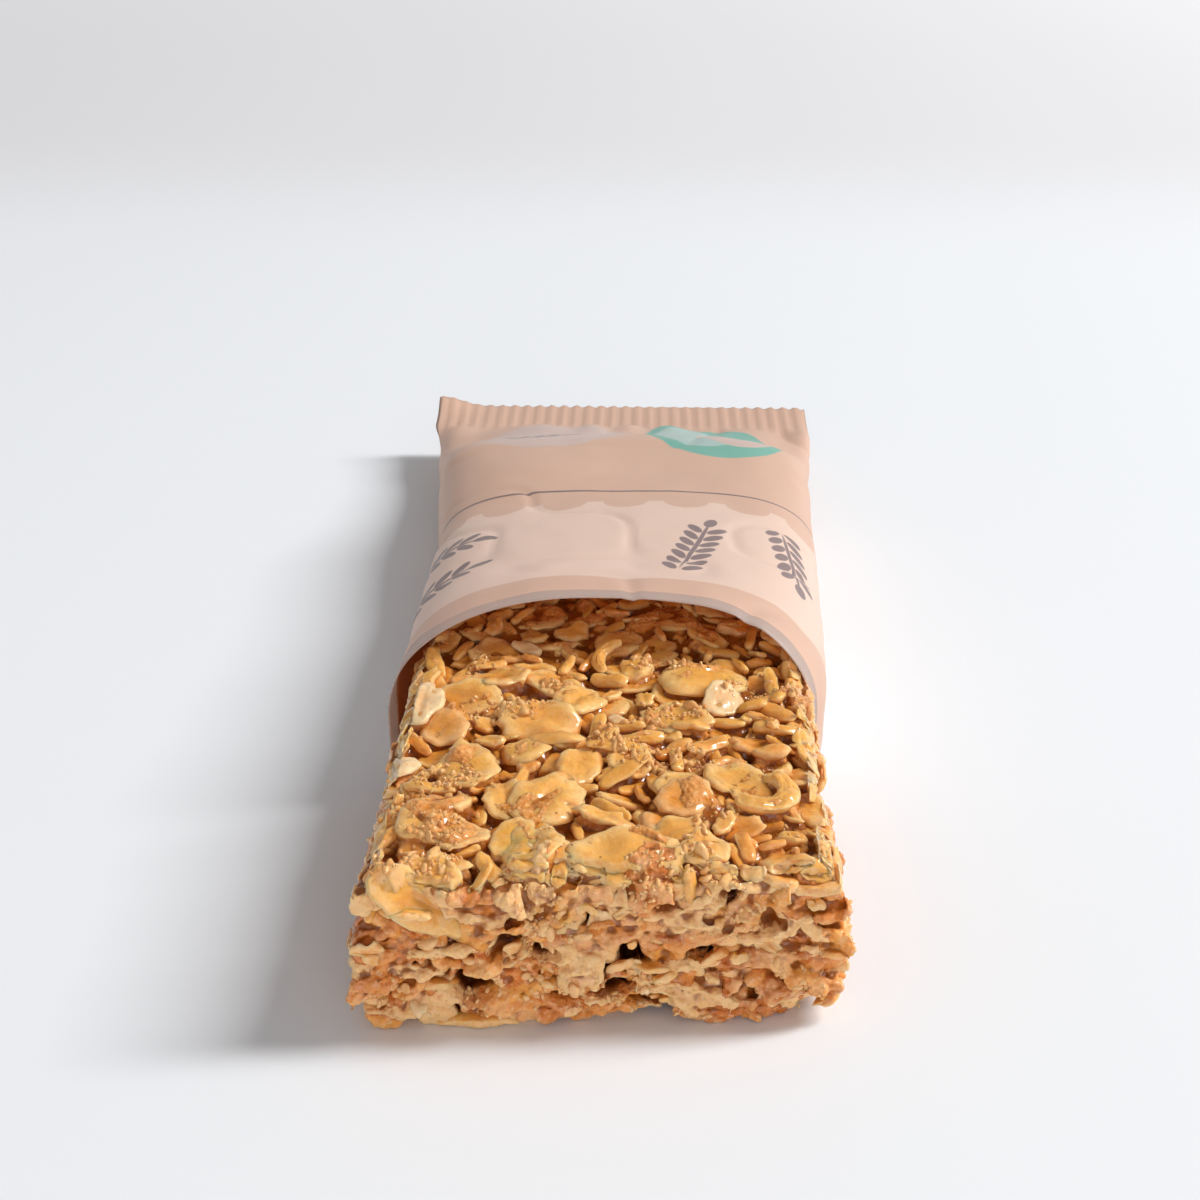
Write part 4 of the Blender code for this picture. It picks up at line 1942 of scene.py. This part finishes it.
@dataclass
class Crumbs:
    """Sugary crumbs, stuck in patches on the top, the cut end and the sides."""

    shape: BarShape = BarShape()
    count: int = 2000
    seed: int = 5
    half_width: float = 19.6
    heights: tuple[float, float] = (1.0, 14.8)
    top_share: float = 0.75
    end_share: float = 0.88
    sizes: tuple[float, float] = (-1.4, 0.45)
    proportions: tuple[float, float, float] = (1.2, 0.8, 0.6)
    flats: int = 7
    drop_from: float = 20 * MM
    drop_reach: float = 9 * MM
    end_from: float = 5 * MM
    side_from: float = 26 * MM
    side_reach: float = 6.8 * MM
    sparse: tuple[float, float] = (0.05, 0.5)
    finish: OatFinish = OatFinish(
        "crumbs",
        olive=linear(242, 192, 118),
        golden=linear(246, 198, 130),
        tan=linear(234, 168, 96),
        honey=linear(210, 130, 52),
        glaze=0.9,
        softness=0.2,
    )

    def build(self, ground: Pieces) -> bpy.types.Object:
        """Drops the crumbs onto what is there.

        Args:
            ground: the pieces that they stick to.

        Returns:
            The crumbs, joined.
        """
        shape, rng = self.shape, np.random.default_rng(self.seed)
        tree, heap = tree_of(ground), Heap("crumbs", Ball.CRUMB)
        while len(heap.points) < self.count:
            x = rng.uniform(-self.half_width, self.half_width) * MM
            y = rng.uniform(shape.front, shape.mouth + 4 * MM)
            z = rng.uniform(*self.heights) * MM
            where = rng.uniform()
            side = 1.0 if x > 0 else -1.0
            reach = self.side_reach if where > self.top_share else self.drop_reach
            if where < self.top_share:
                start, down = Vector((x, y, self.drop_from)), Vector((0, 0, -1))
            elif where < self.end_share:
                start, down = Vector((x, shape.front - self.end_from, z)), Vector((0, 1, 0))
            else:
                start, down = Vector((side * self.side_from, y, z)), Vector((-side, 0, 0))
            hit, _, _, _ = tree.ray_cast(start, down, reach)
            if hit is None:
                continue
            if shape.patches.at(np.array([hit[:]]))[0] < rng.uniform(*self.sparse):
                continue
            size = rng.lognormal(*self.sizes) * MM
            local = self.chipped(heap.ball, rng) * (size * np.array(self.proportions))
            middle = np.array(hit - down * size * rng.uniform(-0.45, 0.15))
            points = local @ turned(*rng.uniform(0, math.tau, 3)).T + middle
            torn = np.full(len(points), 0.3 if where < self.top_share else 1.0)
            heap.add(points, rng.uniform(0.2, 0.6), heap.ball[:, 2] * 0, torn)
        piece = heap.build()
        carry(piece.data, "syrup_and_shade_depth", np.zeros(len(piece.data.vertices)))
        dress(piece, "oats", self.finish.material())
        return piece

    def chipped(self, ball: Array, rng: np.random.Generator) -> Array:
        """Knocks flats off a ball at random, like a grain of sugar.

        Args:
            ball: the ball's points.
            rng: where chance comes from.

        Returns:
            The chipped ball's points.
        """
        for _ in range(self.flats):
            way = rng.normal(0, 1, 3)
            way /= np.linalg.norm(way)
            past = np.maximum(ball @ way - rng.uniform(0.45, 0.85), 0)
            ball = ball - past[:, None] * way
        return ball


# --------------------------------------------------------------------------- the wrapper


@dataclass(frozen=True)
class Section:
    """The film tube's measures at a place along it."""

    y: float
    half: float
    ridge: float
    floor: float
    upper: float
    lower: float
    shift: float


@dataclass(frozen=True)
class FilmTube:
    """The wrapper: a flat sheet of film, rolled into the tube that the CAD node gives."""

    around: int = 196
    along: int = 128
    thickness: float = 0.12 * MM
    lip: float = FILM_BOX[0].y + 0.18 * MM
    fin_end: float = FILM_BOX[1].y
    fin_half: float = FILM_BOX[1].x
    arch: float = FILM_BOX[1].z
    setback: float = 4.0 * MM
    fin_depth: float = 8.5 * MM
    rib_pitch: float = 1.9 * MM
    tooth: float = 0.5 * MM
    flare: float = 0.15 * MM
    tuck: float = 1.9 * MM
    swell: float = 0.42 * MM
    crease: float = 0.34 * MM
    ripple: float = 0.09 * MM
    pleat: float = 0.42 * MM
    pleat_width: float = 1.25 * MM
    rib: float = 0.16 * MM
    mouth_wave: float = 0.25 * MM
    corner_curl: float = 1.5 * MM
    tooth_width: float = 2.0 * MM
    weld: float = 0.004 * MM

    def sections(self) -> list[Section]:
        """The tube's sections.

        Returns:
            The sections from the mouth to the fin's edge.
        """
        lip, end, half = self.lip, self.fin_end, self.fin_half
        return [
            Section(lip, 22.8 * MM, self.arch - 0.1 * MM, 0.0, 2.4, 6.0, 0.1 * MM),
            Section(lip + 22 * MM, 23.2 * MM, 20.0 * MM, 0.0, 3.0, 6.0, 0.8 * MM),
            Section(lip + 40 * MM, 23.3 * MM, 18.3 * MM, 0.0, 3.7, 6.0, 1.4 * MM),
            Section(lip + 61 * MM, 25.0 * MM, 17.6 * MM, 0.0, 3.9, 5.0, 0.9 * MM),
            Section(lip + 78 * MM, 27.0 * MM, 12.6 * MM, 3.6 * MM, 2.4, 2.4, 0.4 * MM),
            Section(end - self.fin_depth, half - 0.2 * MM, 8.17 * MM, 7.83 * MM, 3.0, 3.0, 0.0),
            Section(end, half, 8.13 * MM, 7.87 * MM, 6.0, 6.0, 0.0),
        ]

    def measures(self, y: float) -> Array:
        """A section's measures, run smoothly between its neighbours.

        Args:
            y: the place along the tube.

        Returns:
            Its half width, ridge, floor, upper and lower roundness, and shift.
        """
        stations = self.sections()
        y = min(max(y, stations[0].y), stations[-1].y)
        for low, high in zip(stations, stations[1:]):
            if y <= high.y:
                break
        even = (y - low.y) / (high.y - low.y)
        t = 0.5 * smooth(even) + 0.5 * even
        one, other = [
            np.array([s.half, s.ridge, s.floor, s.upper, s.lower, s.shift]) for s in (low, high)
        ]
        return one + (other - one) * t

    def ring(self, y: float) -> Array:
        """Even points round the section at y, from the middle of the underside.

        Args:
            y: the place along the tube.

        Returns:
            A row for each point: x, z, its rise from -1 to 1, and the outward x and z.
        """
        half, ridge, floor, upper, lower, shift = self.measures(y)
        angle = np.linspace(-math.pi / 2, 1.5 * math.pi, 1441)
        c, s = np.cos(angle), np.sin(angle)
        roundness = np.where(s >= 0, upper, lower)
        middle = floor + 0.42 * (ridge - floor)
        x = np.sign(c) * np.abs(c) ** (2 / roundness) * half + shift
        rise = np.abs(s) ** (2 / roundness)
        low = np.maximum(middle - (middle - floor) * 1.03 * rise, floor)
        z = np.where(s >= 0, middle + (ridge - middle) * rise, low)
        reach = np.concatenate([[0], np.cumsum(np.hypot(np.diff(x), np.diff(z)))])
        wanted = np.linspace(0, reach[-1], self.around + 1)
        x, z, s = (np.interp(wanted, reach, part) for part in (x, z, s))
        x[-1], z[-1] = x[0], z[0]
        run_x = np.gradient(np.concatenate([x[-3:-1], x, x[1:3]]))[2:-2]
        run_z = np.gradient(np.concatenate([z[-3:-1], z, z[1:3]]))[2:-2]
        size = np.hypot(run_x, run_z) + 1e-9
        return np.stack([x, z, s, run_z / size, -run_x / size], 1)

    def rolled(self) -> Array:
        """Rolls the sheet, with its creases, pleats, ribs and teeth.

        Returns:
            Where its points lie: a row for each ring, a column for each point.
        """
        steps = np.linspace(0, 1, self.along + 1)
        stations = self.lip + (self.fin_end - self.lip) * steps
        rings = np.stack([self.ring(y) for y in stations])
        x, z, up, out_x, out_z = np.moveaxis(rings, 2, 0)
        near = (1 - steps[:, None]) ** 2
        wave = self.mouth_wave * np.sin(np.linspace(0, 3 * math.tau, self.around + 1))
        y = stations[:, None] + (self.setback * np.maximum(up, 0) ** 2 + wave) * near
        from_lip = (stations - self.lip)[:, None]
        to_end = (self.fin_end - stations)[:, None]
        fin = smooth(1 - (to_end - self.fin_depth) / (5 * MM))
        flat = np.stack([x, y, z], 2).reshape(-1, 3)
        free = (1 - fin) * smooth((z - 0.5 * MM) / (5 * MM))
        swell = self.swell * SoftNoise(15 * MM, 51).at(flat).reshape(x.shape)
        pushed = flat + 0.4 * swell.reshape(-1, 1)
        lines = np.abs(SoftNoise(12 * MM, 52).at(pushed).reshape(x.shape))
        crease = self.crease * np.maximum(1 - lines * 7, 0) ** 1.5
        small = self.ripple * SoftNoise(3.6 * MM, 53).at(flat).reshape(x.shape)
        pull = smooth(1 - (to_end - self.fin_depth) / (26 * MM)) * free
        pleats = self.pleat * np.sin(x / self.pleat_width + 2.2 * np.sin(x / (5 * MM))) * pull
        push = (swell - crease + small) * free + pleats
        x, z = x + out_x * push, z + out_z * push
        side = 1 - np.abs(up) ** 1.5
        left = self.flare * np.exp(-((from_lip / (3.2 * MM)) ** 2)) * side * (x < 0)
        right = self.tuck * np.exp(-((from_lip / (3.6 * MM)) ** 2)) * side * (x > 0)
        x = x - left - right
        ribs = self.rib * np.sin(x * math.tau / self.rib_pitch) * fin
        corner = smooth((-x - 19 * MM) / (9 * MM)) * smooth(1 - to_end / (9 * MM))
        z = z + ribs + self.corner_curl * corner**2
        teeth = np.abs((x / self.tooth_width) % 1.0 - 0.5) * 2
        y = y - self.tooth * teeth * smooth(1 - to_end / (1.6 * MM))
        return np.stack([x, y, np.clip(z, 0.0, self.arch)], 2)

    def build(self) -> bpy.types.Object:
        """Rolls the sheet, joins its long edges and its fin, and gives it its thickness.

        Returns:
            The wrapper.
        """
        bm = bmesh.new()
        bm.loops.layers.uv.new("sheet")
        bmesh.ops.create_grid(
            bm, x_segments=self.around, y_segments=self.along, size=0.5, calc_uvs=True
        )
        piece = new_piece(bm, "film_wrapper")
        mesh = piece.data
        flat = places(mesh)
        u = np.round((flat[:, 0] + 0.5) * self.around).astype(int)
        v = np.round((flat[:, 1] + 0.5) * self.along).astype(int)
        put(mesh, self.rolled()[v, u])
        bm = bmesh.new()
        bm.from_mesh(mesh)
        bmesh.ops.remove_doubles(bm, verts=bm.verts, dist=self.weld)
        bmesh.ops.recalc_face_normals(bm, faces=bm.faces)
        bm.to_mesh(mesh)
        bm.free()
        wall = piece.modifiers.new("thickness", "SOLIDIFY")
        wall.thickness = self.thickness
        wall.offset = -1.0
        wall.material_offset = 1
        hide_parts("wrapper")
        inside = FilmFinish("film_inside", printed=False, glow=linear(240, 154, 84))
        dress(piece, "wrapper_film", FilmFinish().material(), inside.material())
        return piece


# --------------------------------------------------------------------------- the studio


@dataclass(frozen=True)
class Studio:
    """A pale table, a large soft lamp from the right, and the camera before the cut end."""

    ahead: float = 115.6 * MM
    above: float = 99.5 * MM
    aside: float = 3.2 * MM
    down: float = math.radians(26.4)
    left: float = math.radians(1.51)
    lens: float = 51.0
    sensor: float = 36.0
    table_half: float = 8.0
    sky: tuple = (1.0, 0.98, 0.985, 1.0)
    sky_levels: tuple[float, ...] = (0.06, 0.34, 0.75, 0.3)
    lamps: tuple = (
        ("key", (1.45, 0.26, 1.4), (0.34, 1.1), 39.0),
        ("front fill", (0.3, -1.5, 0.42), (1.1, 1.1), 5.8),
    )

    def build(self) -> None:
        """Makes the table, the surroundings, the lamps and the camera."""
        self.table()
        self.surroundings()
        for name, place, size, power in self.lamps:
            self.lamp(name, place, size, power)
        self.camera()

    def table(self) -> None:
        """Lays the plain table top under everything."""
        bm = bmesh.new()
        bmesh.ops.create_grid(bm, x_segments=1, y_segments=1, size=self.table_half)
        table = new_piece(bm, "table")
        table.data.materials.append(TableFinish().material())

    def surroundings(self) -> None:
        """Makes a soft room light that is brighter from low down than from above."""
        world = bpy.data.worlds.new("surroundings")
        world.use_nodes = True
        sky = world.node_tree
        way = sky.nodes.new("ShaderNodeTexCoord").outputs["Generated"]
        split, level = sky.nodes.new("ShaderNodeSeparateXYZ"), sky.nodes.new("ShaderNodeMapRange")
        sky.links.new(way, split.inputs["Vector"])
        sky.links.new(split.outputs["Z"], level.inputs["Value"])
        level.interpolation_type = "SMOOTHSTEP"
        for name, value in zip(("From Min", "From Max", "To Min", "To Max"), self.sky_levels):
            level.inputs[name].default_value = value
        sky.nodes["Background"].inputs["Color"].default_value = self.sky
        sky.links.new(level.outputs["Result"], sky.nodes["Background"].inputs["Strength"])
        bpy.context.scene.world = world

    def camera(self) -> None:
        """Stands the camera before the cut end, with colours shown as they are."""
        eye = bpy.data.cameras.new("camera")
        eye.lens = self.lens
        eye.sensor_width = self.sensor
        camera = linked("camera", eye)
        camera.location = (self.aside, CAD_BOX[0].y - self.ahead, self.above)
        camera.rotation_euler = (math.pi / 2 - self.down, 0.0, self.left)
        scene = bpy.context.scene
        scene.camera = camera
        scene.view_settings.view_transform = "Standard"

    @staticmethod
    def lamp(
        name: str, place: tuple[float, float, float], size: tuple[float, float], power: float
    ) -> None:
        """Adds a soft lamp that faces the middle of the bar.

        Args:
            name: its name.
            place: where it stands.
            size: how wide and how tall it is.
            power: its power in watts.
        """
        light = bpy.data.lights.new(name, "AREA")
        light.shape = "RECTANGLE"
        light.size, light.size_y = size
        light.energy = power
        lamp = linked(name, light)
        lamp.location = place
        lamp.rotation_euler = (-Vector(place)).to_track_quat("-Z", "Y").to_euler()


def main() -> None:
    """Builds the bar, its syrup, its wrapper and the studio, and logs each piece's face count."""
    logging.basicConfig(level=logging.INFO, format="%(name)s: %(message)s")
    oats, end_lumps, side_lumps = OatBar().build()
    core = Core()
    body = [core.middle(side_lumps, oats), core.torn_end(end_lumps, oats), core.hidden_end()]
    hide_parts("bar")
    finish = CoreFinish().material()
    for part in body:
        dress(part, "oats", finish)
    crumbs = Crumbs().build([*oats, *body])
    film = FilmTube().build()
    Studio().build()
    for piece in [*oats, *body, crumbs, film]:
        LOG.info("%s: %d faces", piece.name, len(piece.data.polygons))


if __name__ == "__main__":
    main()
